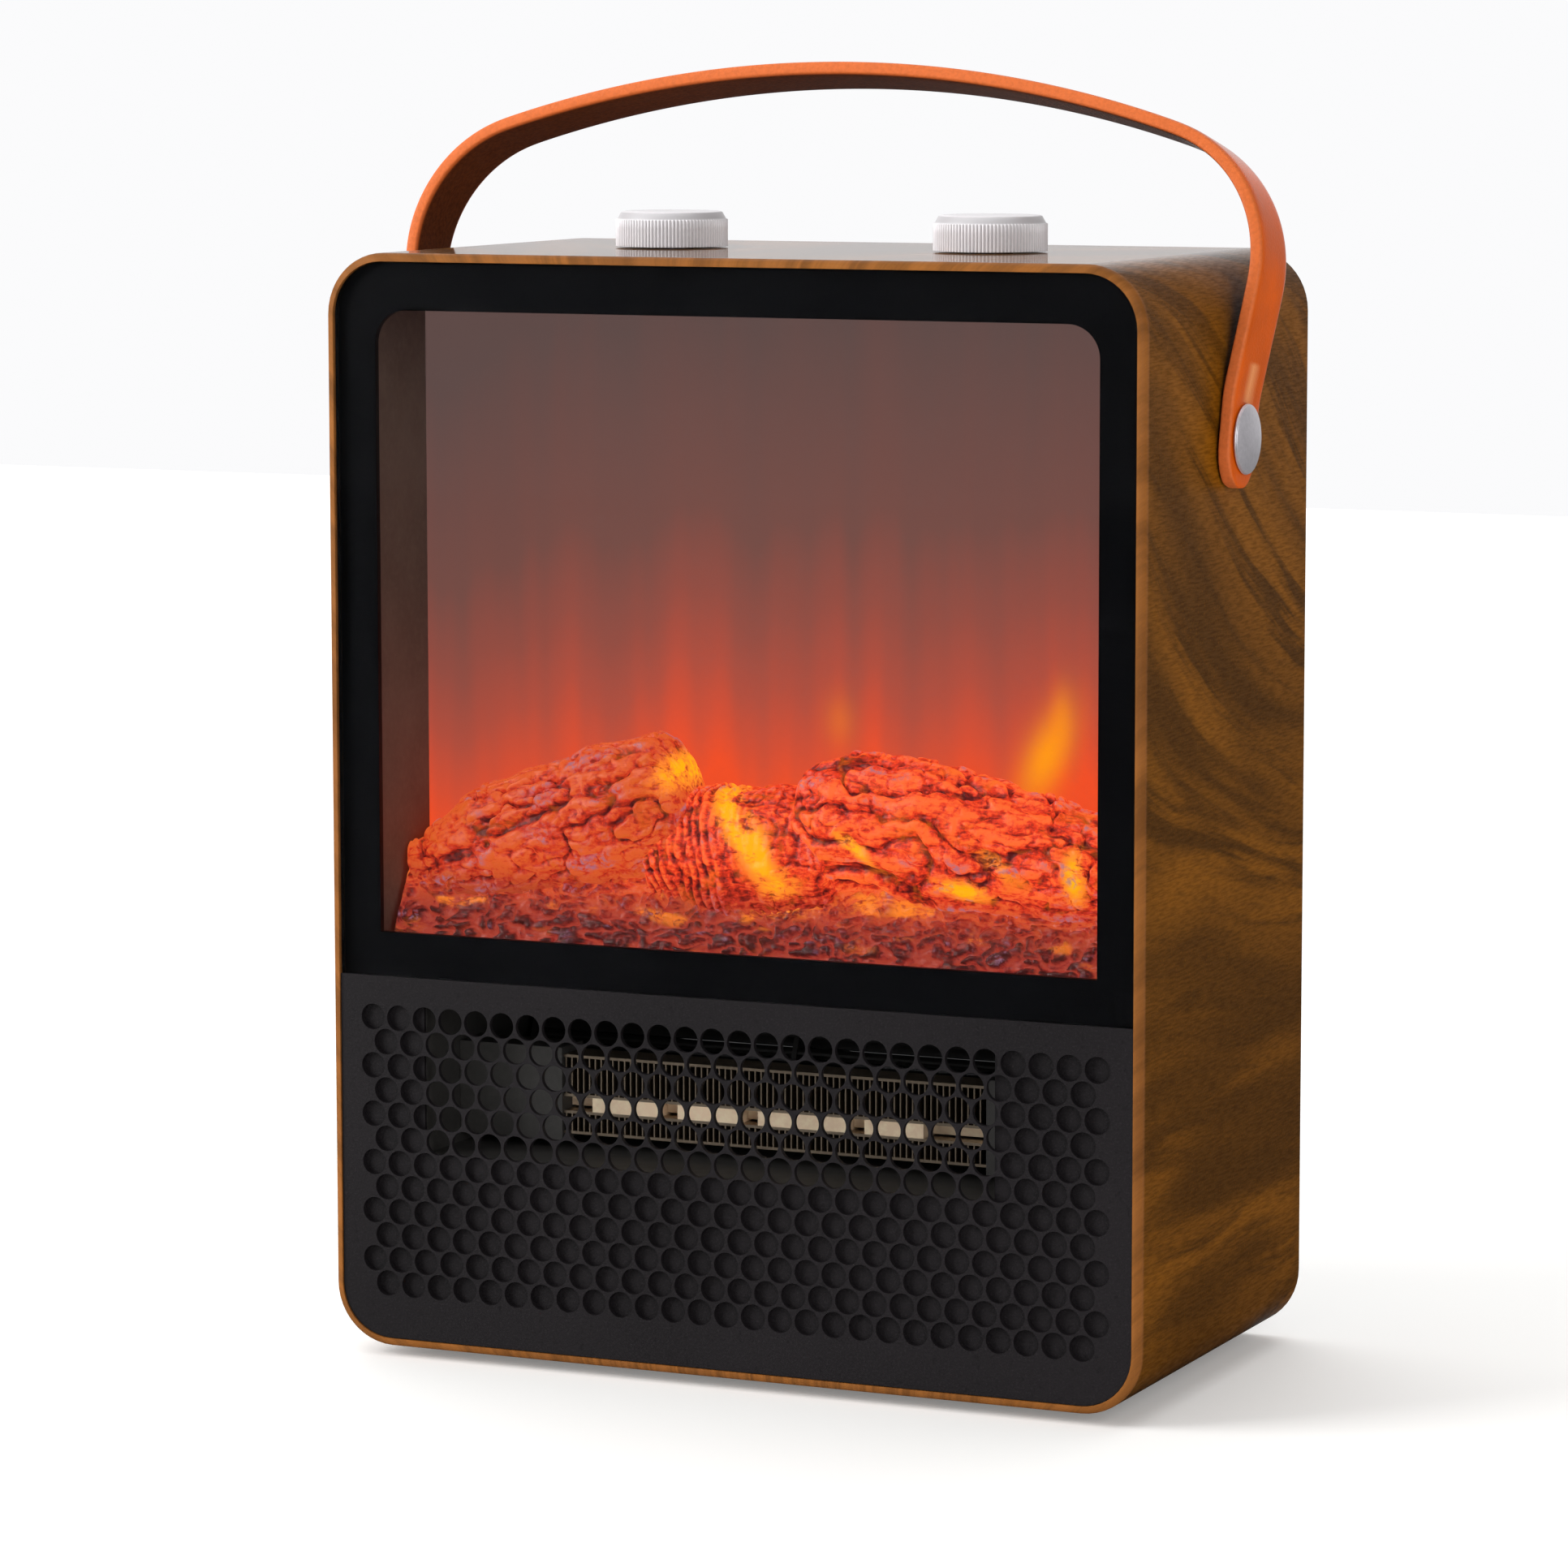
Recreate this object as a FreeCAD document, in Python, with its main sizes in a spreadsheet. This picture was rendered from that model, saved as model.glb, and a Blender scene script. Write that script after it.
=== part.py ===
import FreeCAD, Part
import math
import os
import re
from types import SimpleNamespace

import Sketcher

# Portable fan heater with a ceramic (PTC) element, a glass window over a glowing log bed, two knobs on
# top and a leather strap handle. Frame: origin on the floor under the middle of the case, +X to the
# right of someone facing the window, +Y to the back, +Z up. Millimetres.

# Driving dimensions: alias, value, what it is. "mid" heights are measured from the middle of the case.
SIZES = [
    ("case_width", 253.0, "case, left to right"),
    ("case_depth", 133.0, "case, front to back"),
    ("case_height", 320.0, "case, bottom to top"),
    ("case_corner", 18.0, "outer corner radius of the case, seen from the front"),
    ("wall", 2.4, "thickness of the wrapped case"),
    ("front_round", 2.3, "round-over on the front rim of the case"),
    ("rear_round", 1.0, "round-over on the back rim of the case"),
    ("foot_height", 3.0, "rubber foot below the case"),
    ("foot_radius", 7.0, "rubber foot"),
    ("foot_span_x", 196.0, "feet, centre to centre across"),
    ("foot_span_y", 88.0, "feet, centre to centre front to back"),
    ("panel_recess", 0.5, "front panels behind the front rim"),
    ("panel_thick", 3.0, "glass and grille thickness"),
    ("panel_gap", 0.2, "gap between a panel and the case"),
    ("split_level", -50.0, "mid height of the joint between glass and grille"),
    ("glass_edge", 0.5, "chamfer on the glass"),
    ("window_half", 112.0, "window opening, half width"),
    ("window_low", -37.5, "window opening, mid height of its bottom"),
    ("window_high", 143.5, "window opening, mid height of its top"),
    ("window_corner", 9.5, "window opening, top corner radius"),
    ("sheet_thick", 2.0, "moulded inner plates"),
    ("liner_half", 114.5, "firebox liner, inner half width"),
    ("liner_top", 148.5, "firebox liner, mid height of its ceiling"),
    ("liner_wall", 1.5, "firebox liner wall"),
    ("screen_front", 26.8, "flame screen, distance before the middle of the case"),
    ("hole_pitch", 8.4, "grille holes, spacing along a row"),
    ("row_pitch", 7.17, "grille holes, spacing of the rows"),
    ("hole_radius", 3.8, "grille hole"),
    ("hole_depth", 1.9, "depth of a grille hole from the front"),
    ("hole_columns", 28, "holes in an odd row"),
    ("hole_rows", 12, "rows of holes"),
    ("first_row", -62.3, "mid height of the top row"),
    ("duct_low_x", -97.6, "left wall of the air duct, inside"),
    ("duct_high_x", 82.0, "right wall of the air duct, inside"),
    ("duct_low_z", -102.2, "mid height of the duct floor, inside"),
    ("duct_high_z", -58.4, "mid height of the duct ceiling, inside"),
    ("duct_web", 1.6, "grille left standing in front of the duct"),
    ("core_front", 41.0, "heating core, distance before the middle of the case"),
    ("core_depth", 12.0, "heating core, front to back"),
    ("core_length", 134.0, "heating core between its holders"),
    ("core_x", 3.2, "middle of the heating core from the middle of the case"),
    ("core_level", -88.4, "mid height of the ceramic bar"),
    ("core_bar", 4.2, "height of the ceramic bar"),
    ("fin_upper", 12.4, "height of the row of fins above the bar"),
    ("fin_lower", 6.8, "height of the row of fins below the bar"),
    ("fin_pitch", 1.9, "spacing of the fins"),
    ("fin_thick", 0.4, "fin sheet"),
    ("fan_y", 18.0, "fan axis, distance behind the middle of the case"),
    ("fan_level", -82.0, "mid height of the fan axis"),
    ("fan_radius", 20.0, "cross-flow wheel"),
    ("fan_blades", 24, "blades on the cross-flow wheel"),
    ("fan_shaft", 2.5, "radius of the fan shaft"),
    ("running", 0.05, "radial clearance of a shaft in its hole"),
    ("spindle_y", -6.0, "flame spindle axis, distance behind the middle of the case"),
    ("spindle_level", -33.0, "mid height of the flame spindle"),
    ("spindle_radius", 1.5, "flame spindle shaft"),
    ("vane_reach", 10.5, "reach of the spindle's mirror vanes"),
    ("knob_x", 50.6, "knob axis from the middle of the case"),
    ("knob_y", 7.0, "knob axis behind the middle of the case"),
    ("knob_radius", 16.5, "knurled knob"),
    ("knob_height", 10.2, "knurled knob"),
    ("knurl_height", 7.9, "knurled band"),
    ("knurl_teeth", 96, "ridges round a knob"),
    ("knurl_deep", 0.45, "depth of the knurl"),
    ("knob_gap", 0.4, "knob above the case"),
    ("stem_radius", 3.0, "control shaft"),
    ("bush_radius", 4.6, "threaded neck of a control"),
    ("rivet_level", 108.8, "mid height of the strap's rivets"),
    ("rivet_radius", 10.0, "domed rivet cap"),
    ("rivet_dome", 2.6, "height of the cap"),
    ("rivet_shank", 3.0, "radius of the rivet's shank"),
    ("strap_width", 22.0, "leather strap, front to back"),
    ("strap_thick", 4.2, "leather strap"),
    ("strap_top", 106.1, "top of the strap above the rivets"),
    ("strap_tail", 14.0, "strap below the rivets"),
    ("strap_pad", 12.0, "straight stretch of strap above the rivets"),
    ("strap_gap", 0.4, "strap off the case side"),
    ("crown_radius", 341.0, "long curve of the strap's top"),
    ("crown_half", 107.0, "half span of the long curve"),
    ("shoulder_radius", 42.0, "tight curve at the strap's shoulders"),
    ("strap_lean", 13.0, "degrees that the strap leans back at rest"),
    ("cover_recess", 4.4, "back cover's outer face inside the rear rim"),
    ("screw_rise", 128.0, "back screws above and below the mid height"),
    ("slot_width", 150.0, "air slot in the back cover"),
    ("slot_height", 3.5, "air slot in the back cover"),
    ("slot_pitch", 8.0, "spacing of the air slots"),
    ("slot_count", 11, "air slots"),
    ("gland_x", 92.0, "cord gland from the middle of the case"),
    ("gland_level", -132.0, "mid height of the cord gland"),
    ("gland_bore", 3.6, "radius of the cord gland's bore"),
    ("plunger_x", -78.0, "tip-over plunger from the middle of the case"),
    ("plunger_y", -22.0, "tip-over plunger behind the middle of the case"),
    ("plunger_radius", 3.5, "tip-over plunger"),
]

doc = FreeCAD.newDocument("ceramic_space_heater")
sheet = doc.addObject("Spreadsheet::Sheet", "Sizes")
for row, (alias, number, note) in enumerate(SIZES, start=1):
    sheet.set(f"A{row}", str(number))
    sheet.setAlias(f"A{row}", alias)
    sheet.set(f"B{row}", note)
doc.recompute()

S = SimpleNamespace(**{alias: float(sheet.get(alias)) for alias, _, _ in SIZES})
ALIASES = {alias for alias, _, _ in SIZES}
# Derived lengths, as expressions on the sheet's cells.
DERIVED = {
    "mid": "(foot_height + case_height / 2)",
    "case_half": "(case_width / 2)",
    "case_front": "(case_depth / 2)",
    "inner_half": "(case_width / 2 - wall)",
    "inner_high": "(case_height / 2 - wall)",
    "panel_half": "(case_width / 2 - wall - panel_gap)",
    "panel_high": "(case_height / 2 - wall - panel_gap)",
    "panel_back": "(case_depth / 2 - panel_recess - panel_thick)",
}
VECTOR = FreeCAD.Vector
AXIS_TURN = {
    "x": FreeCAD.Rotation(VECTOR(0, 1, 0), 90),
    "y": FreeCAD.Rotation(VECTOR(1, 0, 0), -90),
    "z": FreeCAD.Rotation(),
}
MID = S.foot_height + S.case_height / 2
INNER_HALF = S.case_width / 2 - S.wall
CASE_TOP = S.foot_height + S.case_height
NODES = []


def ex(text):
    """Spell out derived lengths and put the sheet's name before each alias."""
    for word, meaning in DERIVED.items():
        text = re.sub(rf"\b{word}\b", meaning, text)
    return re.sub(r"[a-z]\w*", lambda found: f"Sizes.{found[0]}" if found[0] in ALIASES else found[0], text)


def node(item, label):
    """Name an object as one finished piece of the heater."""
    item.Label = label
    NODES.append(item)
    return item


def place(item, low, axis="z"):
    """Put an object's own origin at three expressions, its own Z along the named axis."""
    item.Placement = FreeCAD.Placement(VECTOR(), AXIS_TURN[axis])
    for letter, text in zip("xyz", low):
        item.setExpression(f"Placement.Base.{letter}", ex(text))
    return item


def block(size, low):
    """Box with its size and its lowest corner given as expressions."""
    item = doc.addObject("Part::Box", "Block")
    for side, text in zip(("Length", "Width", "Height"), size):
        item.setExpression(side, ex(text))
    return place(item, low)


def rod(radius, length, start, axis="z"):
    """Cylinder from a starting point along an axis."""
    item = doc.addObject("Part::Cylinder", "Rod")
    item.setExpression("Radius", ex(radius))
    item.setExpression("Height", ex(length))
    return place(item, start, axis)


def cut(base, tool):
    item = doc.addObject("Part::Cut", "Cut")
    item.Base = base
    item.Tool = tool
    return item


def fuse(first, *others):
    for other in others:
        item = doc.addObject("Part::Fuse", "Fuse")
        item.Base = first
        item.Tool = other
        first = item
    return first


def feature(shape, label):
    """Piece whose shape is worked out here from the sheet's sizes."""
    item = doc.addObject("Part::Feature", "Piece")
    item.Shape = shape
    item.Placement = FreeCAD.Placement()
    return node(item, label)


def body(label):
    return node(doc.addObject("PartDesign::Body", "Body"), label)


def sketch(owner, role, offset="0"):
    """Sketch on one of the body's own origin planes, moved along the plane's normal."""
    item = owner.newObject("Sketcher::SketchObject", "Sketch")
    plane = next(part for part in owner.Origin.OriginFeatures if part.Role == role)
    item.AttachmentSupport = (plane, [""])
    item.MapMode = "FlatFace"
    item.setExpression("AttachmentOffset.Base.z", ex(offset))
    return item


def lock(item, geometry, point, across, upward):
    """Hold one sketch point at two expressions from the sketch's origin."""
    for kind, text in (("DistanceX", across), ("DistanceY", upward)):
        index = item.addConstraint(Sketcher.Constraint(kind, -1, 1, geometry, point, 1.0))
        item.setExpression(f"Constraints[{index}]", ex(text))


def polygon(item, corners):
    """Closed outline through corners given as pairs of expressions."""
    first = item.GeometryCount
    count = len(corners)
    for step in range(count):
        turn = 2 * math.pi * step / count
        after = 2 * math.pi * (step + 1) / count
        item.addGeometry(Part.LineSegment(
            VECTOR(math.cos(turn), math.sin(turn), 0), VECTOR(math.cos(after), math.sin(after), 0)))
    for step in range(count):
        item.addConstraint(Sketcher.Constraint(
            "Coincident", first + step, 2, first + (step + 1) % count, 1))
    for step, (across, upward) in enumerate(corners):
        lock(item, first + step, 1, across, upward)


def rectangle(item, low_x, low_y, high_x, high_y):
    polygon(item, [(low_x, low_y), (high_x, low_y), (high_x, high_y), (low_x, high_y)])


def rounded(item, low_x, low_y, high_x, high_y, radius):
    """Rectangle with four equal round corners, held by its sides and its corner radius."""
    first = item.GeometryCount
    for quarter in range(4):
        turn = math.pi / 2 * (quarter - 1)
        along = VECTOR(math.cos(turn + math.pi / 2), math.sin(turn + math.pi / 2), 0)
        out = VECTOR(math.cos(turn), math.sin(turn), 0)
        item.addGeometry(Part.LineSegment(out * 3 - along * 2, out * 3 + along * 2))
        centre = Part.Circle(out * 2 + along * 2, VECTOR(0, 0, 1), 1)
        item.addGeometry(Part.ArcOfCircle(centre, turn % (2 * math.pi), turn % (2 * math.pi) + math.pi / 2))
    for quarter in range(4):
        line = first + 2 * quarter
        arc = line + 1
        item.addConstraint(Sketcher.Constraint("Tangent", line, 2, arc, 1))
        item.addConstraint(Sketcher.Constraint("Tangent", arc, 2, first + (2 * quarter + 2) % 8, 1))
        item.addConstraint(Sketcher.Constraint("Horizontal" if quarter % 2 == 0 else "Vertical", line))
        if quarter:
            item.addConstraint(Sketcher.Constraint("Equal", first + 1, arc))
    limit = item.addConstraint(Sketcher.Constraint("Radius", first + 1, 1.0))
    item.setExpression(f"Constraints[{limit}]", ex(radius))
    for quarter, (kind, text) in enumerate((
            ("DistanceY", low_y), ("DistanceX", high_x), ("DistanceY", high_y), ("DistanceX", low_x))):
        index = item.addConstraint(Sketcher.Constraint(kind, -1, 1, first + 2 * quarter, 1, 1.0))
        item.setExpression(f"Constraints[{index}]", ex(text))


def circle(item, across, upward, radius):
    index = item.addGeometry(Part.Circle(VECTOR(1, 1, 0), VECTOR(0, 0, 1), 1))
    lock(item, index, 3, across, upward)
    limit = item.addConstraint(Sketcher.Constraint("Radius", index, 1.0))
    item.setExpression(f"Constraints[{limit}]", ex(radius))


def pad(owner, profile, length, middle=False):
    item = owner.newObject("PartDesign::Pad", "Pad")
    item.Profile = profile
    item.setExpression("Length", ex(length))
    item.SideType = "Symmetric" if middle else "One side"
    doc.recompute()
    return item


def pocket(owner, profile, length=None, backward=False):
    """Cut a sketch through everything both ways, or to a depth against or along the sketch's normal."""
    before = owner.Shape.Volume
    item = owner.newObject("PartDesign::Pocket", "Pocket")
    item.Profile = profile
    if length is None:
        item.SideType = "Two sides"
        item.Type = "ThroughAll"
        item.Type2 = "ThroughAll"
    else:
        item.setExpression("Length", ex(length))
        item.Reversed = backward
    doc.recompute()
    if owner.Shape.Volume > before - 1e-3:
        raise RuntimeError(f"a pocket in {owner.Label} cuts nothing")
    return item


def round_edges(owner, base, radius, wanted, kind="PartDesign::Fillet", size="Radius"):
    """Fillet or chamfer the edges of a feature that pass a test."""
    names = [f"Edge{index}" for index, edge in enumerate(base.Shape.Edges, start=1) if wanted(edge)]
    item = owner.newObject(kind, "Rounded")
    item.Base = (base, names)
    item.setExpression(size, ex(radius))
    doc.recompute()
    return item


def runs_along(edge, axis):
    """True for a straight edge parallel to the axis."""
    ends = [vertex.Point for vertex in edge.Vertexes]
    if len(ends) != 2:
        return False
    span = ends[1] - ends[0]
    return abs(abs(getattr(span, axis)) - span.Length) < 1e-6 and abs(span.Length - edge.Length) < 1e-6


def lies_at(edge, axis, place_at, slack=1e-4):
    """True for an edge that stays at one coordinate."""
    box = edge.BoundBox
    low = getattr(box, f"{axis.upper()}Min")
    high = getattr(box, f"{axis.upper()}Max")
    return abs(low - place_at) < slack and abs(high - place_at) < slack


def case_shell():
    """Wood-look wrap: a rounded tube, open at the front and back."""
    item = body("case_shell")
    outline = sketch(item, "XZ_Plane")
    rounded(outline, "-case_half", "foot_height", "case_half", "foot_height + case_height", "case_corner")
    rounded(outline, "-inner_half", "mid - inner_high", "inner_half", "mid + inner_high",
            "case_corner - wall")
    base = pad(item, outline, "case_depth", middle=True)
    front = -S.case_depth / 2

    def outer_rim(edge, at):
        """Outer outline of the tube's front or back end: no other edge there reaches so far out."""
        middle = edge.valueAt((edge.FirstParameter + edge.LastParameter) / 2)
        across = max(abs(middle.x) - S.case_width / 2 + S.case_corner, 0)
        upward = max(abs(middle.z - MID) - S.case_height / 2 + S.case_corner, 0)
        return lies_at(edge, "y", at) and abs(math.hypot(across, upward) - S.case_corner) < 1e-3

    base = round_edges(item, base, "front_round", lambda edge: outer_rim(edge, front))
    round_edges(item, base, "rear_round", lambda edge: outer_rim(edge, -front))

    stems = sketch(item, "XY_Plane", "foot_height + case_height")
    for side in ("-", ""):
        circle(stems, f"{side}knob_x", "knob_y", "bush_radius + 0.1")
    pocket(item, stems, "2 * wall")
    rivets = sketch(item, "YZ_Plane")
    circle(rivets, "0", "mid + rivet_level", "rivet_shank + running")
    pocket(item, rivets)
    plunger = sketch(item, "XY_Plane", "foot_height - 1")
    circle(plunger, "plunger_x", "plunger_y", "plunger_radius + running * 2")
    pocket(item, plunger, "2 * wall", backward=True)
    return item


def boss_places():
    """Rear screw positions: three down each side."""
    reach = INNER_HALF - 7
    return [(side * reach, MID + rise) for side in (-1, 1) for rise in (-S.screw_rise, 0, S.screw_rise)]


def rear_bosses():
    """Screw posts along the case walls behind the back cover, one block to a post."""
    cover_front = S.case_depth / 2 - 4.5
    length = 26
    posts = []
    for x, z in boss_places():
        post = Part.makeCylinder(5, length, VECTOR(x, cover_front - length, z), VECTOR(0, 1, 0))
        side = math.copysign(1, x)
        web = Part.makeBox(INNER_HALF - abs(x) - 0.1, length, 3,
                           VECTOR(x if side > 0 else -INNER_HALF + 0.1, cover_front - length, z - 1.5))
        bore = Part.makeCylinder(1.25, length, VECTOR(x, cover_front - length + 4, z), VECTOR(0, 1, 0))
        posts.append(post.fuse(web).cut(bore))
    return feature(Part.makeCompound(posts), "screw_posts")


def back_cover():
    """Rear panel with rows of air slots, a gland hole and screw holes."""
    item = body("back_cover")
    outline = sketch(item, "XZ_Plane", "-(case_front - cover_recess)")
    rectangle(outline, "-panel_half", "mid - panel_high", "panel_half", "mid + panel_high")
    base = item.newObject("PartDesign::Pad", "Pad")
    base.Profile = outline
    base.setExpression("Length", ex("sheet_thick + 0.4"))
    base.Reversed = True
    doc.recompute()
    round_edges(item, base, "case_corner - wall - panel_gap", lambda edge: runs_along(edge, "y"))
    slot = sketch(item, "XZ_Plane", "-(case_front - cover_recess)")
    rectangle(slot, "-slot_width / 2", "mid - 118", "slot_width / 2", "mid - 118 + slot_height")
    first = pocket(item, slot)
    rows = item.newObject("PartDesign::LinearPattern", "Slots")
    rows.Originals = [first]
    rows.Direction = (slot, ["V_Axis"])
    rows.setExpression("Length", ex("slot_pitch * (slot_count - 1)"))
    rows.setExpression("Occurrences", ex("slot_count"))
    item.Tip = rows
    doc.recompute()
    vents = sketch(item, "XZ_Plane", "-(case_front - cover_recess)")
    for step in range(4):
        low = f"mid + 96 + {step} * slot_pitch"
        rectangle(vents, "-slot_width / 4", low, "slot_width / 4", f"{low} + slot_height")
    pocket(item, vents)
    holes = sketch(item, "XZ_Plane", "-(case_front - cover_recess)")
    circle(holes, "gland_x", "mid + gland_level", "gland_bore + 3.4")
    for side in ("-", ""):
        for rise in ("- screw_rise", "+ 0", "+ screw_rise"):
            circle(holes, f"{side}(inner_half - 7)", f"mid {rise}", "1.75")
    pocket(item, holes)
    return item


def back_screws():
    """Six pan-head screws that hold the back cover."""
    face = S.case_depth / 2 - 2
    screws = []
    for x, z in boss_places():
        head = Part.makeCylinder(3.2, 1.8, VECTOR(x, face, z), VECTOR(0, 1, 0))
        thread = Part.makeCylinder(1.25, 12, VECTOR(x, face - 12, z), VECTOR(0, 1, 0))
        drive = Part.makeBox(3.6, 1, 0.8, VECTOR(x - 1.8, face + 1, z - 0.4))
        cross = Part.makeBox(0.8, 1, 3.6, VECTOR(x - 0.4, face + 1, z - 1.8))
        screws.append(head.fuse(thread).cut(drive).cut(cross))
    return feature(Part.makeCompound(screws), "back_screws")


def rubber_feet():
    """Four rubber pads under the case."""
    pads = []
    for side in (-1, 1):
        for end in (-1, 1):
            centre = VECTOR(side * S.foot_span_x / 2, end * S.foot_span_y / 2, 0)
            foot = Part.makeCylinder(S.foot_radius, S.foot_height, centre)
            pads.append(foot.makeChamfer(0.6, [edge for edge in foot.Edges if lies_at(edge, "z", 0)]))
    return feature(Part.makeCompound(pads), "rubber_feet")


# ---------------------------------------------------------------- front

def front_glass():
    """Flat glass over the upper front, with rounded top corners and a ground edge."""
    item = body("front_glass")
    outline = sketch(item, "XZ_Plane", "panel_back")
    rectangle(outline, "-panel_half", "mid + split_level", "panel_half", "mid + panel_high")
    base = pad(item, outline, "panel_thick")
    top = MID + S.split_level + 1
    base = round_edges(item, base, "case_corner - wall - panel_gap",
                       lambda edge: runs_along(edge, "y") and edge.CenterOfMass.z > top)
    front = S.panel_recess - S.case_depth / 2
    round_edges(item, base, "glass_edge", lambda edge: lies_at(edge, "y", front),
                "PartDesign::Chamfer", "Size")
    return item


def window_bezel():
    """Black frame behind the glass that leaves the window clear."""
    item = body("window_bezel")
    outline = sketch(item, "XZ_Plane", "panel_back - 0.1 - sheet_thick")
    rectangle(outline, "-panel_half", "mid + split_level", "panel_half", "mid + panel_high")
    base = pad(item, outline, "sheet_thick")
    top = MID + S.split_level + 1
    base = round_edges(item, base, "case_corner - wall - panel_gap",
                       lambda edge: runs_along(edge, "y") and edge.CenterOfMass.z > top)
    opening = sketch(item, "XZ_Plane", "panel_back")
    rectangle(opening, "-window_half", "mid + window_low", "window_half", "mid + window_high")
    base = pocket(item, opening)
    high = MID + S.window_high
    round_edges(item, base, "window_corner", lambda edge: runs_along(edge, "y")
                and abs(edge.CenterOfMass.z - high) < 1e-3)
    return item


def front_grille():
    """Lower front panel: a field of round dimples, open only where the air duct stands behind."""
    item = body("front_grille")
    outline = sketch(item, "XZ_Plane", "panel_back")
    rectangle(outline, "-panel_half", "mid - panel_high", "panel_half", "mid + split_level - panel_gap / 2")
    base = pad(item, outline, "panel_thick")
    low = MID + S.split_level - 1
    round_edges(item, base, "case_corner - wall - panel_gap",
                lambda edge: runs_along(edge, "y") and edge.CenterOfMass.z < low)
    holes = sketch(item, "XZ_Plane", "case_front - panel_recess")
    for line in range(int(S.hole_rows)):
        count = int(S.hole_columns) - line % 2
        for column in range(count):
            across = (column - (count - 1) / 2) * S.hole_pitch
            upward = MID + S.first_row - line * S.row_pitch
            holes.addGeometry(Part.Circle(VECTOR(across, upward, 0), VECTOR(0, 0, 1), S.hole_radius))
    pocket(item, holes, "hole_depth")
    relief = sketch(item, "XZ_Plane", "panel_back")
    rectangle(relief, "duct_low_x", "mid + duct_low_z", "duct_high_x", "mid + duct_high_z")
    pocket(item, relief, "panel_thick - duct_web", backward=True)
    return item


# ---------------------------------------------------------------- firebox

def divider_shelf():
    """Shelf between the firebox and the heater below it."""
    return node(block(
        ("2 * panel_half", "case_depth - 9.6", "sheet_thick"),
        ("-panel_half", "-panel_back + 0.3", "mid + split_level - 0.6 - sheet_thick")), "divider_shelf")


def firebox_liner():
    """Dark liner round the firebox: two side walls, a ceiling and a floor."""
    deep = "panel_back - 0.4 - sheet_thick - screen_front"
    front = "-(panel_back - 0.2 - sheet_thick)"
    low = "mid + split_level - 0.4"
    outer = block(("2 * (liner_half + liner_wall)", deep, "liner_top - split_level + 0.4 + liner_wall"),
                  ("-liner_half - liner_wall", front, low))
    inner = block(("2 * liner_half", f"{deep} + 2", "liner_top - split_level + 0.4 - liner_wall"),
                  ("-liner_half", f"{front} - 1", f"{low} + liner_wall"))
    return node(cut(outer, inner), "firebox_liner")


def flame_screen():
    """Frosted screen at the back of the firebox that the flames play on."""
    return node(block(
        ("2 * (liner_half + liner_wall)", "sheet_thick", "liner_top - split_level + 0.4 + liner_wall"),
        ("-liner_half - liner_wall", "-screen_front", "mid + split_level - 0.4")), "flame_screen")


def log_bed():
    """Moulded translucent bed: three logs lying on a bank of embers, on two feet.

    The backs of the logs are cut flat, just clear of the flame screen.
    """
    base_low = MID + S.split_level + 4.5
    reach = S.liner_half - 1.5
    # Side view of the bank, as Y and height from the mid height.
    slope = [(-57.0, -38.0), (-47.0, -20.5), (-41.0, -15.0), (-33.0, -16.0), (-29.0, -24.0)]
    corners = [VECTOR(-reach, y, MID + rise) for y, rise in slope]
    corners = [VECTOR(-reach, slope[0][0], base_low), *corners, VECTOR(-reach, slope[-1][0], base_low)]
    bed = Part.Face(Part.makePolygon([*corners, corners[0]])).extrude(VECTOR(2 * reach, 0, 0))
    # Each log: start, end, radius at the start, radius at the end. Heights are from the mid height.
    logs = [
        ((-111, -43, -19), (-20, -42.4, 10), 9.0, 14.8),
        ((-34, -41.6, -5), (27, -41.6, -6), 14.4, 13.6),
        ((14, -42.8, 5), (112, -42.2, -10), 14.4, 12.3),
    ]
    for start, end, first_radius, last_radius in logs:
        begin = VECTOR(start[0], start[1], MID + start[2])
        span = VECTOR(end[0], end[1], MID + end[2]) - begin
        bed = bed.fuse(Part.makeCone(first_radius, last_radius, span.Length, begin, span))
    screen_gap = 0.6
    behind = Part.makeBox(4 * reach, 20, 200, VECTOR(-2 * reach, -S.screen_front - screen_gap, base_low - 20))
    bed = bed.cut(behind)
    post_drop = 3.2
    for side in (-1, 1):
        corner = VECTOR(side * (S.liner_half - 6) - 3, -53, base_low - post_drop)
        bed = bed.fuse(Part.makeBox(6, 20, post_drop + 1, corner))
    return feature(bed, "log_bed")


def ember_board():
    """Lamp strip under the log bed."""
    return node(block(("2 * (liner_half - 16)", "12", "1.4"),
                      ("-liner_half + 16", "-50", "mid + split_level + 1.2")), "ember_board")


def lamp_row(label, count, first, last, low, size):
    """Row of square lamps, evenly spaced along X."""
    lamps = []
    for step in range(count):
        x = first + (last - first) * step / (count - 1)
        lamps.append(Part.makeBox(*size, VECTOR(x - size[0] / 2, low[0], low[1])))
    return feature(Part.makeCompound(lamps), label)


def flame_rotor():
    """Thin shaft with short mirror vanes set in turn round it."""
    start = -104
    length = 196
    along = VECTOR(1, 0, 0)
    centre_z = MID + S.spindle_level
    spindle = Part.makeCylinder(S.spindle_radius, length, VECTOR(start, S.spindle_y, centre_z), along)
    vane_length = 9
    count = 16
    for step in range(count):
        x = start + 8 + step * 11.5
        corner = VECTOR(x, S.spindle_y - S.vane_reach, centre_z - 0.25)
        vane = Part.makeBox(vane_length, 2 * S.vane_reach, 0.5, corner)
        vane.rotate(VECTOR(x, S.spindle_y, centre_z), along, step * 50)
        spindle = spindle.fuse(vane)
    return feature(spindle, "flame_rotor")


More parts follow.
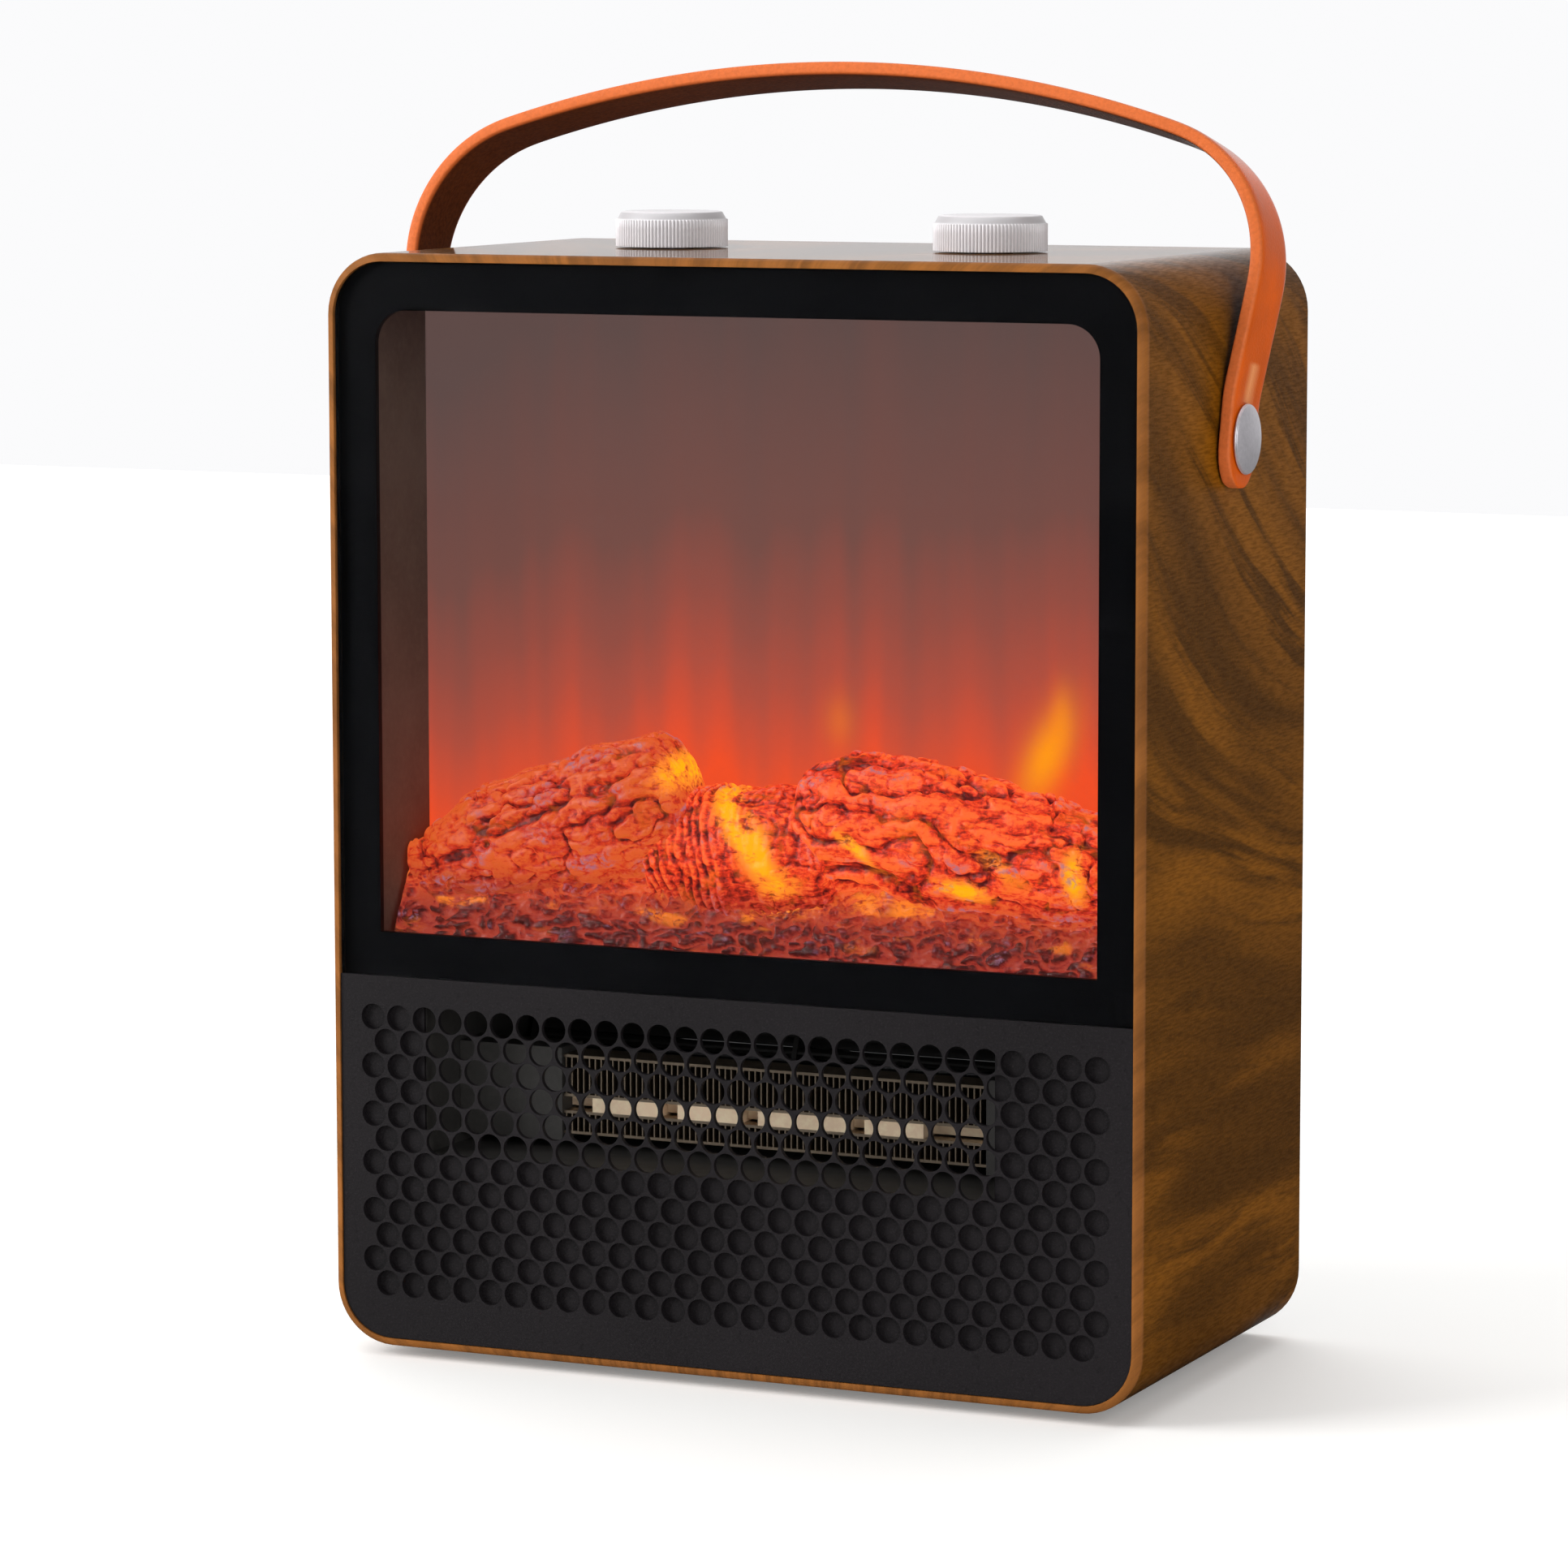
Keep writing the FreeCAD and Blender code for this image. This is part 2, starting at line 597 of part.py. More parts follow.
def rotor_bracket(label, x, bore):
    """Upright plate that carries one end of the flame spindle."""
    low = "mid + split_level - 0.6"
    plate = block(("2", "24", "29"), (x, "spindle_y - 12", low))
    return node(cut(plate, rod(bore, "6", (f"{x} - 2", "spindle_y", "mid + spindle_level"), "x")), label)


def rotor_motor():
    """Small synchronous motor that turns the flame spindle: a round can with a deep bore."""
    can = rod("15", "13", ("95", "spindle_y", "mid + spindle_level"), "x")
    plate = block(("1", "36", "10"), ("95", "spindle_y - 18", "mid + spindle_level - 5"))
    bore = rod("spindle_radius + 0.1", "4", ("94", "spindle_y", "mid + spindle_level"), "x")
    return node(cut(fuse(can, plate), bore), "rotor_motor")


def flame_board():
    """Lamp strip behind the flame spindle."""
    board = block(("190", "1.6", "24"), ("-100", "spindle_y + 14", "mid + split_level - 0.6"))
    return node(board, "flame_board")


# ---------------------------------------------------------------- heater and blower

def heater_duct():
    """Square duct from the blower to the grille."""
    length = "panel_back - 0.2 + fan_y - 12.2"
    front = "-panel_back + 0.2"
    wide = "duct_high_x - duct_low_x"
    high = "duct_high_z - duct_low_z"
    outer = block((f"{wide} + 2 * sheet_thick", length, f"{high} + 2 * sheet_thick"),
                  ("duct_low_x - sheet_thick", front, "mid + duct_low_z - sheet_thick"))
    inner = block((wide, f"{length} + 2", high),
                  ("duct_low_x", f"{front} - 1", "mid + duct_low_z"))
    return node(cut(outer, inner), "heater_duct")


def ptc_core():
    """Row of ceramic bars on one electrode strip, whose ends are the terminal tabs."""
    low = "mid + core_level - core_bar / 2"
    bars = [
        block((span, "core_depth", "core_bar"), (start, "-core_front", low))
        for start, span in (("-54.5", "21.5"), ("-27", "19.8"), ("-1.4", "27.8"), ("32.2", "18.3"))
    ]
    strip = block(("core_length + 12", "0.8", "3"),
                  ("core_x - core_length / 2 - 6", "-core_front + core_depth / 2", "mid + core_level - 1.5"))
    return node(fuse(strip, *bars), "ptc_core")


def heat_fins():
    """Two rows of aluminium fins, each between two strips, above and below the ceramic bar."""
    left = S.core_x - S.core_length / 2
    strip = 0.8
    bar_half = S.core_bar / 2
    rows = []
    for low, height in ((bar_half, S.fin_upper), (-bar_half - S.fin_lower, S.fin_lower)):
        low += MID + S.core_level
        row = Part.makeBox(S.core_length, S.core_depth, strip, VECTOR(left, -S.core_front, low))
        row = row.fuse(Part.makeBox(S.core_length, S.core_depth, strip,
                                    VECTOR(left, -S.core_front, low + height - strip)))
        fins = []
        for step in range(int(S.core_length / S.fin_pitch)):
            corner = VECTOR(left + (step + 0.3) * S.fin_pitch, -S.core_front, low + strip / 2)
            fins.append(Part.makeBox(S.fin_thick, S.core_depth, height - strip, corner))
        rows.append(row.fuse(fins))
    return feature(Part.makeCompound(rows), "heat_fins")


def core_ends():
    """Moulded holders at both ends of the heating core, each round a terminal tab."""
    low = MID + S.core_level - S.core_bar / 2 - S.fin_lower - 2
    high = MID + S.core_level + S.core_bar / 2 + S.fin_upper + 2
    holders = []
    for side in (-1, 1):
        inner = S.core_x + side * (S.core_length / 2 + 0.1)
        outer = S.duct_high_x - 0.2 if side > 0 else S.duct_low_x + 0.2
        block_end = Part.makeBox(abs(outer - inner), S.core_depth + 2, high - low,
                                 VECTOR(min(inner, outer), -S.core_front - 1, low))
        slot = Part.makeBox(6.4, 1.4, 3.6,
                            VECTOR(min(inner, inner + side * 6.4), -S.core_front + S.core_depth / 2 - 0.3,
                                   MID + S.core_level - 1.8))
        holders.append(block_end.cut(slot))
    return feature(Part.makeCompound(holders), "core_ends")


def thermal_cutout():
    """Round bimetal cut-out on the duct's ceiling."""
    base = "mid + duct_high_z + sheet_thick"
    can = rod("7.5", "3.2", ("-8", "-20", base))
    tabs = block(("22", "5", "0.8"), ("-19", "-22.5", f"{base} + 1"))
    return node(fuse(can, tabs), "thermal_cutout")


def fan_wheel():
    """Cross-flow wheel: curved blades between three discs, on a shaft that runs through to the motor."""
    left = S.duct_low_x + 3
    right = S.duct_high_x - 3
    centre = VECTOR(0, S.fan_y, MID + S.fan_level)
    disc = 1.6
    wheel = []
    for x in (left, (left + right - disc) / 2, right - disc):
        wheel.append(Part.makeCylinder(S.fan_radius, disc, VECTOR(x, centre.y, centre.z), VECTOR(1, 0, 0)))
    for x in (left, right - 6):
        wheel.append(Part.makeCylinder(5, 6, VECTOR(x, centre.y, centre.z), VECTOR(1, 0, 0)))
    chord = 6.5
    inner = S.fan_radius - chord
    blade_outline = [VECTOR(left + 0.2, 0, inner), VECTOR(left + 0.2, 2.2, inner + chord / 2),
                     VECTOR(left + 0.2, 0.6, S.fan_radius - 0.3)]
    curve = Part.Arc(*blade_outline).toShape()
    thin = curve.copy()
    thin.translate(VECTOR(0, 0.7, 0))
    ends = [Part.makeLine(curve.Vertexes[0].Point, thin.Vertexes[0].Point),
            Part.makeLine(curve.Vertexes[-1].Point, thin.Vertexes[-1].Point)]
    section = Part.Face(Part.Wire(Part.__sortEdges__([curve, ends[1], thin, ends[0]])))
    blade = section.extrude(VECTOR(right - left - 0.4, 0, 0))
    for step in range(int(S.fan_blades)):
        turned = blade.copy()
        turned.rotate(VECTOR(), VECTOR(1, 0, 0), 360 * step / S.fan_blades)
        turned.translate(centre)
        wheel.append(turned)
    solid = wheel[0].fuse(wheel[1:])
    bore = Part.makeCylinder(S.fan_shaft, right - left + 2, VECTOR(left - 1, centre.y, centre.z),
                             VECTOR(1, 0, 0))
    return feature(solid.cut(bore), "fan_wheel")


def fan_shaft():
    """Steel shaft through the wheel, the end bush and the motor."""
    return node(rod("fan_shaft", "duct_high_x - duct_low_x + 46",
                    ("duct_low_x - 8", "fan_y", "mid + fan_level"), "x"), "fan_shaft")


def blower_scroll():
    """Curved guide under and behind the wheel, joined to the duct floor."""
    left = S.duct_low_x + 0.2
    length = S.duct_high_x - S.duct_low_x - 0.4
    centre = VECTOR(left, S.fan_y, MID + S.fan_level)
    gap = 3.5
    inside = S.fan_radius + gap
    outer = Part.makeCylinder(inside + 1.5, length, centre, VECTOR(1, 0, 0))
    ring = outer.cut(Part.makeCylinder(inside, length, centre, VECTOR(1, 0, 0)))
    reach = 60
    lower_half = Part.makeBox(length, reach, reach, VECTOR(left, S.fan_y - 12, centre.z - reach - 2))
    return feature(ring.common(lower_half), "blower_scroll")


def vortex_tongue():
    """Lip above the wheel that parts the outgoing air from the incoming air."""
    left = S.duct_low_x + 0.2
    length = S.duct_high_x - S.duct_low_x - 0.4
    centre_z = MID + S.fan_level
    front_y = S.fan_y - S.fan_radius
    top_z = centre_z + S.fan_radius
    lip = Part.makeBox(length, 10, 1.5, VECTOR(left, front_y - 5.5, top_z - 0.5))
    hook = Part.makeBox(length, 1.5, 7, VECTOR(left, front_y + 3, top_z - 7.2))
    hook.translate(VECTOR(0, -6.2, 1.2))
    return feature(lip.fuse(hook), "vortex_tongue")


def blower_end(label, x, bore):
    """End plate of the blower with a hole for the bush or the motor's neck."""
    plate = block(("sheet_thick", "58", "duct_high_z - duct_low_z + 2 * sheet_thick"),
                  (x, "fan_y - 26", "mid + duct_low_z - sheet_thick"))
    return node(cut(plate, rod(bore, "8", (f"{x} - 3", "fan_y", "mid + fan_level"), "x")), label)


def fan_bush():
    """Sintered bush in the left end plate."""
    outer = rod("6", "5", ("duct_low_x - 6", "fan_y", "mid + fan_level"), "x")
    bore = rod("fan_shaft + running", "9", ("duct_low_x - 8", "fan_y", "mid + fan_level"), "x")
    return node(cut(outer, bore), "fan_bush")


MOTOR_X = "duct_high_x + 9"


def motor_stator():
    """Stack of square laminations round the rotor, with a leg for the coil."""
    stack = block(("14", "40", "34"), (MOTOR_X, "fan_y - 20", "mid + fan_level - 17"))
    leg = block(("14", "12", "36"), (MOTOR_X, "fan_y + 20", "mid + fan_level - 17"))
    foot = block(("14", "30", "5"), (MOTOR_X, "fan_y - 6", "mid + fan_level - 22"))
    bore = rod("10.5", "20", (f"{MOTOR_X} - 3", "fan_y", "mid + fan_level"), "x")
    return node(cut(fuse(stack, leg, foot), bore), "motor_stator")


def motor_coil():
    """Copper winding on the stator's leg."""
    outer = block(("20", "18", "24"), (f"{MOTOR_X} - 3", "fan_y + 20.3", "mid + fan_level - 13"))
    inner = block(("14.6", "12.6", "30"), (f"{MOTOR_X} - 0.3", "fan_y + 19.7", "mid + fan_level - 16"))
    return node(cut(outer, inner), "motor_coil")


def motor_rotor():
    """Short-circuit rotor pressed on the fan shaft."""
    outer = rod("10.1", "14", (MOTOR_X, "fan_y", "mid + fan_level"), "x")
    return node(cut(outer, rod("fan_shaft", "20", (f"{MOTOR_X} - 3", "fan_y", "mid + fan_level"), "x")),
                "motor_rotor")


def motor_bracket(label, x):
    """Strap across one face of the stator that carries a bearing."""
    strap = block(("2", "38", "12"), (x, "fan_y - 19", "mid + fan_level - 6"))
    neck = rod("5.5", "4", (f"{x} - 1", "fan_y", "mid + fan_level"), "x")
    bore = rod("fan_shaft + running", "10", (f"{x} - 4", "fan_y", "mid + fan_level"), "x")
    return node(cut(fuse(strap, neck), bore), label)


# ---------------------------------------------------------------- controls

def control_body(label, x):
    """Thermostat or selector: a square case under the top, with a threaded neck through the wall."""
    top = "mid + inner_high"
    case = block(("27", "24", "22"), (f"{x} - 13.5", "knob_y - 12", f"{top} - 22.4"))
    neck = rod("bush_radius", "wall + 2.8", (x, "knob_y", f"{top} - 0.6"))
    tabs = block(("20", "1", "8"), (f"{x} - 10", "knob_y - 4", f"{top} - 30"))
    bore = rod("stem_radius + running", "20", (x, "knob_y", f"{top} - 12"))
    return node(cut(fuse(case, neck, tabs), bore), label)


def control_stem(label, x):
    """Shaft that the knob is pressed on."""
    return node(rod("stem_radius", "wall + 17.5", (x, "knob_y", "mid + inner_high - 11.8")), label)


def control_nuts():
    """Hexagon nuts that clamp both controls under the knobs."""
    nuts = []
    for side in (-1, 1):
        corners = [VECTOR(side * S.knob_x + 7 * math.cos(math.radians(60 * step)),
                          S.knob_y + 7 * math.sin(math.radians(60 * step)), CASE_TOP) for step in range(7)]
        nut = Part.Face(Part.makePolygon(corners)).extrude(VECTOR(0, 0, 2))
        bore = Part.makeCylinder(S.bush_radius, 4, VECTOR(side * S.knob_x, S.knob_y, CASE_TOP - 1))
        nuts.append(nut.cut(bore))
    return feature(Part.makeCompound(nuts), "control_nuts")


def knob(label, side):
    """Knurled metal knob with a bevelled shoulder, hollow underneath to clear the nut."""
    low = CASE_TOP + S.knob_gap
    points = []
    steps = 2 * int(S.knurl_teeth)
    for step in range(steps + 1):
        turn = 2 * math.pi * step / steps
        reach = S.knob_radius - (S.knurl_deep if step % 2 else 0)
        points.append(VECTOR(reach * math.cos(turn), reach * math.sin(turn), 0))
    band = Part.Face(Part.makePolygon(points)).extrude(VECTOR(0, 0, S.knurl_height))
    shoulder = S.knob_radius - S.knurl_deep
    cap = Part.makeCone(shoulder, shoulder - 1.6, S.knob_height - S.knurl_height,
                        VECTOR(0, 0, S.knurl_height))
    solid = band.fuse(cap)
    solid = solid.cut(Part.makeCylinder(9, 3.2))
    solid = solid.cut(Part.makeCylinder(S.stem_radius + 0.02, 8))
    item = feature(solid, label)
    item.Placement = FreeCAD.Placement(VECTOR(side * S.knob_x, S.knob_y, low), FreeCAD.Rotation())
    return item


def control_board():
    """Relay board on the back cover, above the air slots."""
    board = block(("90", "1.6", "60"), ("-45", "case_front - 18", "mid + 14"))
    return node(board, "control_board")


def board_posts():
    """Four spacers between the board and the back cover."""
    gap = 18 - 1.6 - 4.5
    posts = []
    for x in (-40, 40):
        for rise in (19, 69):
            place = VECTOR(x, S.case_depth / 2 - 18 + 1.6, MID + rise)
            posts.append(Part.makeCylinder(3, gap, place, VECTOR(0, 1, 0)))
    return feature(Part.makeCompound(posts), "board_posts")


def board_parts():
    """Relays, a capacitor and a terminal block on the board's inner face."""
    face = S.case_depth / 2 - 18
    parts = [Part.makeBox(19, 15, 15, VECTOR(-38, face - 15, MID + 46)),
             Part.makeBox(19, 15, 15, VECTOR(-12, face - 15, MID + 46)),
             Part.makeBox(30, 10, 9, VECTOR(-20, face - 10, MID + 20)),
             Part.makeCylinder(5, 12, VECTOR(28, face - 12, MID + 54), VECTOR(0, 1, 0))]
    return feature(Part.makeCompound(parts), "board_parts")


# ---------------------------------------------------------------- handle

def strap_path():
    """Middle line of the strap from the right tail to the crown: tail, arm, shoulder and crown."""
    outer = S.case_width / 2 + S.strap_gap + S.strap_thick
    crown_turn = math.asin(S.crown_half / S.crown_radius)
    shoulder_x = S.crown_half
    shoulder_z = S.strap_top - S.crown_radius * (1 - math.cos(crown_turn))
    # The shoulder turns on until the arm, from its end, meets the top of the straight pad.
    low = crown_turn
    high = math.radians(120)
    for _ in range(60):
        turn = (low + high) / 2
        end_x = shoulder_x + S.shoulder_radius * (math.sin(turn) - math.sin(crown_turn))
        end_z = shoulder_z - S.shoulder_radius * (math.cos(crown_turn) - math.cos(turn))
        miss = end_x + (end_z - S.strap_pad) / math.tan(turn) - outer
        low, high = (turn, high) if miss > 0 else (low, turn)
    return outer, crown_turn, turn, (shoulder_x, shoulder_z), (end_x, end_z)


def strap_outline(inset):
    """Edges of one side of the strap, set in from its outer face, from the left tail to the right tail."""
    outer, crown_turn, arm_turn, joint, elbow = strap_path()

    def shifted(point, turn):
        return VECTOR(point[0] - inset * math.sin(turn), 0, point[1] - inset * math.cos(turn))

    def arc_middle(centre, radius, turn):
        reach = radius - inset
        return VECTOR(centre[0] + reach * math.sin(turn), 0, centre[1] + reach * math.cos(turn))

    crown_centre = (0, S.strap_top - S.crown_radius)
    start = shifted(joint, crown_turn)
    finish = shifted(elbow, arm_turn)
    shoulder_centre = (joint[0] - S.shoulder_radius * math.sin(crown_turn),
                       joint[1] - S.shoulder_radius * math.cos(crown_turn))
    middle = arc_middle(shoulder_centre, S.shoulder_radius, (crown_turn + arm_turn) / 2)
    bend = (arm_turn - math.pi / 2) / 2
    pad_top = VECTOR(outer - inset, 0, S.strap_pad - inset * math.tan(bend))
    tail = VECTOR(outer - inset, 0, -S.strap_tail)
    crown = arc_middle(crown_centre, S.crown_radius, 0)

    def left(point):
        return VECTOR(-point.x, 0, point.z)

    return [
        Part.makeLine(left(tail), left(pad_top)),
        Part.makeLine(left(pad_top), left(finish)),
        Part.Arc(left(finish), left(middle), left(start)).toShape(),
        Part.Arc(left(start), crown, start).toShape(),
        Part.Arc(start, middle, finish).toShape(),
        Part.makeLine(finish, pad_top),
        Part.makeLine(pad_top, tail),
    ]


def strap_handle():
    """Leather strap: one bent band with rounded ends, riveted to both sides and leaning back."""
    outer = strap_outline(0)
    inner = strap_outline(S.strap_thick)
    ends = [Part.makeLine(outer[0].Vertexes[0].Point, inner[0].Vertexes[0].Point),
            Part.makeLine(outer[-1].Vertexes[-1].Point, inner[-1].Vertexes[-1].Point)]
    wire = Part.Wire(Part.__sortEdges__(outer + inner + ends))
    half = S.strap_width / 2
    band = Part.Face(wire).extrude(VECTOR(0, S.strap_width, 0))
    band.translate(VECTOR(0, -half, 0))
    # Side view that rounds the tails.
    wide = S.case_width
    tail_round = half
    tail_centre = tail_round - S.strap_tail
    keep = Part.makeBox(2 * wide, S.strap_width, 2 * wide, VECTOR(-wide, -half, tail_centre))
    keep = keep.fuse(Part.makeCylinder(tail_round, 2 * wide, VECTOR(-wide, 0, tail_centre), VECTOR(1, 0, 0)))
    band = band.common(keep)
    hole = Part.makeCylinder(S.rivet_shank + S.running, 2 * wide, VECTOR(-wide, 0, 0), VECTOR(1, 0, 0))
    item = doc.addObject("Part::Feature", "Piece")
    item.Shape = band.cut(hole)
    item.Placement = FreeCAD.Placement(VECTOR(0, 0, MID + S.rivet_level),
                                       FreeCAD.Rotation(VECTOR(1, 0, 0), -S.strap_lean))
    return node(item, "strap_handle")


def rivet(label, side):
    """Domed rivet cap on a shank that passes the strap and the case wall."""
    face = S.case_width / 2 + S.strap_gap + S.strap_thick + 0.3
    radius = S.rivet_radius
    dome = S.rivet_dome
    rim = 0.8
    bulge = (radius ** 2 + (dome - rim) ** 2) / (2 * (dome - rim))
    ball_centre = face + dome - bulge
    cap = Part.makeCylinder(radius, dome, VECTOR(face, 0, 0), VECTOR(1, 0, 0))
    cap = cap.common(Part.makeSphere(bulge, VECTOR(ball_centre, 0, 0)))
    inner_end = INNER_HALF - 7
    shank = Part.makeCylinder(S.rivet_shank, face - inner_end + 0.2, VECTOR(inner_end, 0, 0),
                              VECTOR(1, 0, 0))
    item = doc.addObject("Part::Feature", "Piece")
    item.Shape = cap.fuse(shank)
    turn = 0 if side > 0 else 180
    item.Placement = FreeCAD.Placement(VECTOR(0, 0, MID + S.rivet_level),
                                       FreeCAD.Rotation(VECTOR(0, 0, 1), turn))
    return node(item, label)


def rivet_washers():
    """Backing washers inside the case walls."""
    rings = []
    for side in (-1, 1):
        x = side * INNER_HALF
        low = x - 1.5 if side > 0 else x
        ring = Part.makeCylinder(8, 1.5, VECTOR(low, 0, MID + S.rivet_level), VECTOR(1, 0, 0))
        rings.append(ring.cut(Part.makeCylinder(S.rivet_shank + S.running, 4,
                                                VECTOR(low - 1, 0, MID + S.rivet_level), VECTOR(1, 0, 0))))
    return feature(Part.makeCompound(rings), "rivet_washers")


def rivet_nuts():
    """Round clinch nuts on the ends of the rivets."""
    nuts = []
    for side in (-1, 1):
        low = INNER_HALF - 5.2 if side > 0 else -INNER_HALF + 1.6
        nut = Part.makeCylinder(5, 3.6, VECTOR(low, 0, MID + S.rivet_level), VECTOR(1, 0, 0))
        nuts.append(nut.cut(Part.makeCylinder(S.rivet_shank, 6, VECTOR(low - 1, 0, MID + S.rivet_level),
                                              VECTOR(1, 0, 0))))
    return feature(Part.makeCompound(nuts), "rivet_nuts")


# ---------------------------------------------------------------- base and inlet

def cord_gland():
    """Round gland in the back cover, with a bore for a supply cord."""
    collar = rod("gland_bore + 3.2", "9", ("gland_x", "case_front - 10", "mid + gland_level"), "y")
    flange = rod("gland_bore + 5.6", "1.8", ("gland_x", "case_front - 1.9", "mid + gland_level"), "y")
    bore = rod("gland_bore", "16", ("gland_x", "case_front - 13", "mid + gland_level"), "y")
    return node(cut(fuse(collar, flange), bore), "cord_gland")


def tip_switch():
    """Switch case on the floor of the heater, over the plunger."""
    low = "mid - inner_high"
    case = block(("22", "18", "24"), ("plunger_x - 11", "plunger_y - 9", low))
    chamber = rod("plunger_radius + running * 2", "20", ("plunger_x", "plunger_y", f"{low} - 1"))
    return node(cut(case, chamber), "tip_switch")


def tip_plunger():
    """Plunger that the floor holds in while the heater stands upright."""
    length = S.foot_height + S.wall + 9
    base = VECTOR(S.plunger_x, S.plunger_y, 0)
    pin = Part.makeCylinder(S.plunger_radius, length, base)
    return feature(pin.makeFillet(0.8, [edge for edge in pin.Edges if lies_at(edge, "z", 0)]), "tip_plunger")


def tip_spring():
    """Coil spring over the plunger, kept as a plain sleeve."""
    low = S.foot_height + S.wall + 9.1
    top = S.foot_height + S.wall + 18.8
    sleeve = Part.makeCylinder(3.0, top - low, VECTOR(S.plunger_x, S.plunger_y, low))
    bore = Part.makeCylinder(2.2, top - low, VECTOR(S.plunger_x, S.plunger_y, low))
    return feature(sleeve.cut(bore), "tip_spring")


def build():
    case_shell()
    rear_bosses()
    back_cover()
    back_screws()
    rubber_feet()
    front_glass()
    window_bezel()
    front_grille()
    divider_shelf()
    firebox_liner()
    flame_screen()
    log_bed()
    ember_board()
    ember_low = MID + S.split_level + 1.2 + 1.4
    lamp_row("ember_lamps", 12, -90, 90, (-46, ember_low), (4, 4, 1.6))
    flame_rotor()
    rotor_bracket("rotor_bracket_left", "-103", "spindle_radius + running")
    rotor_bracket("rotor_bracket_right", "90.5", "spindle_radius + running")
    rotor_motor()
    flame_board()
    lamp_row("flame_lamps", 10, -90, 80, (S.spindle_y + 12.4, MID + S.spindle_level - 2), (4, 1.6, 4))
    heater_duct()
    ptc_core()
    heat_fins()
    core_ends()
    thermal_cutout()
    fan_wheel()
    fan_shaft()
    blower_scroll()
    vortex_tongue()
    blower_end("blower_end_left", "duct_low_x - 5", "6.1")
    blower_end("blower_end_right", "duct_high_x + 2.2", "8")
    fan_bush()
    motor_stator()
    motor_coil()
    motor_rotor()
    motor_bracket("motor_bracket_inner", f"{MOTOR_X} - 3.2")
    motor_bracket("motor_bracket_outer", f"{MOTOR_X} + 15.2")
    control_body("thermostat", "-knob_x")
    control_body("mode_selector", "knob_x")
    control_stem("thermostat_stem", "-knob_x")
    control_stem("selector_stem", "knob_x")
    control_nuts()
    knob("knob_left", -1)
    knob("knob_right", 1)
    control_board()
    board_posts()
    board_parts()
    strap_handle()
    rivet("rivet_left", -1)
    rivet("rivet_right", 1)
    rivet_washers()
    rivet_nuts()
    cord_gland()
    tip_switch()
    tip_plunger()
    tip_spring()


def check():
    """Stop if any object failed or any piece has no sound solid."""
    for item in doc.Objects:
        if "Invalid" in item.State or "Error" in item.State:
            raise RuntimeError(f"{item.Name} ({item.Label}) failed: {item.State}")
    for item in NODES:
        if item.Shape.isNull() or not item.Shape.isValid() or not item.Shape.Solids:
            raise RuntimeError(f"{item.Label} has no sound solid")


build()
doc.recompute()
check()
os.makedirs("parts", exist_ok=True)
for piece in NODES:
    piece.Shape.exportStep(f"parts/{piece.Label}.step")
    print(f"{piece.Label}: {len(piece.Shape.Solids)} solids, {piece.Shape.Volume / 1000:.2f} cm3")
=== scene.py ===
"""Electric fireplace heater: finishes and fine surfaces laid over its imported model."""

import itertools
import math

import bpy
import numpy as np
from bpy.props import FloatProperty, FloatVectorProperty, IntProperty, PointerProperty
from mathutils import Matrix, Vector


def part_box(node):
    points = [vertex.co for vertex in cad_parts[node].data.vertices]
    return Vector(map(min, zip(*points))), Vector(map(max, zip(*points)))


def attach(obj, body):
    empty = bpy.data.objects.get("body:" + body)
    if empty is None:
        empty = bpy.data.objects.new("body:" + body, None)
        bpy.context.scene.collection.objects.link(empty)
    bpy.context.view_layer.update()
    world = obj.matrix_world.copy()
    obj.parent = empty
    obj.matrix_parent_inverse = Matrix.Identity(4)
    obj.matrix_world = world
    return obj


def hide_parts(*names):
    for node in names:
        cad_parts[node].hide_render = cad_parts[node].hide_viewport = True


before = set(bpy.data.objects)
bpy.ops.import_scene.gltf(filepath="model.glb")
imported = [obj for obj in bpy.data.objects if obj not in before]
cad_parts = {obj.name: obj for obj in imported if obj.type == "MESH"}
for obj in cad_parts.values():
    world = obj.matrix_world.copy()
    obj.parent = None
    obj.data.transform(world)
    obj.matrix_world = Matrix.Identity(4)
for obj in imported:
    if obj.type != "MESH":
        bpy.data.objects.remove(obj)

bl_info = {
    "name": "Fireplace heater finishes",
    "version": (1, 0, 0),
    "blender": (4, 5, 0),
    "location": "3D View > Sidebar > Heater",
    "description": "Wood wrap, glowing log bed, knurled knobs and leather strap of a small heater",
    "category": "Object",
}

MM = 0.001


def tone(red, green, blue):
    """Linear colour with full alpha from 0 to 255 display values."""
    shares = np.array([red, green, blue]) / 255
    linear = np.where(shares <= 0.04045, shares / 12.92, ((shares + 0.055) / 1.055) ** 2.4)
    return (*(float(value) for value in linear), 1.0)


def colour(label, description, *levels):
    """Colour property from three display values of 0 to 255."""
    return FloatVectorProperty(
        name=label, description=description, subtype="COLOR", size=4, min=0, max=1, default=tone(*levels)
    )


def length(label, description, default):
    """Length property in metres, from a default in millimetres."""
    metres = default * MM
    return FloatProperty(name=label, description=description, default=metres, unit="LENGTH", precision=5)


def amount(label, description, default):
    """Plain factor."""
    return FloatProperty(name=label, description=description, default=default)


# ---------------------------------------------------------------- settings


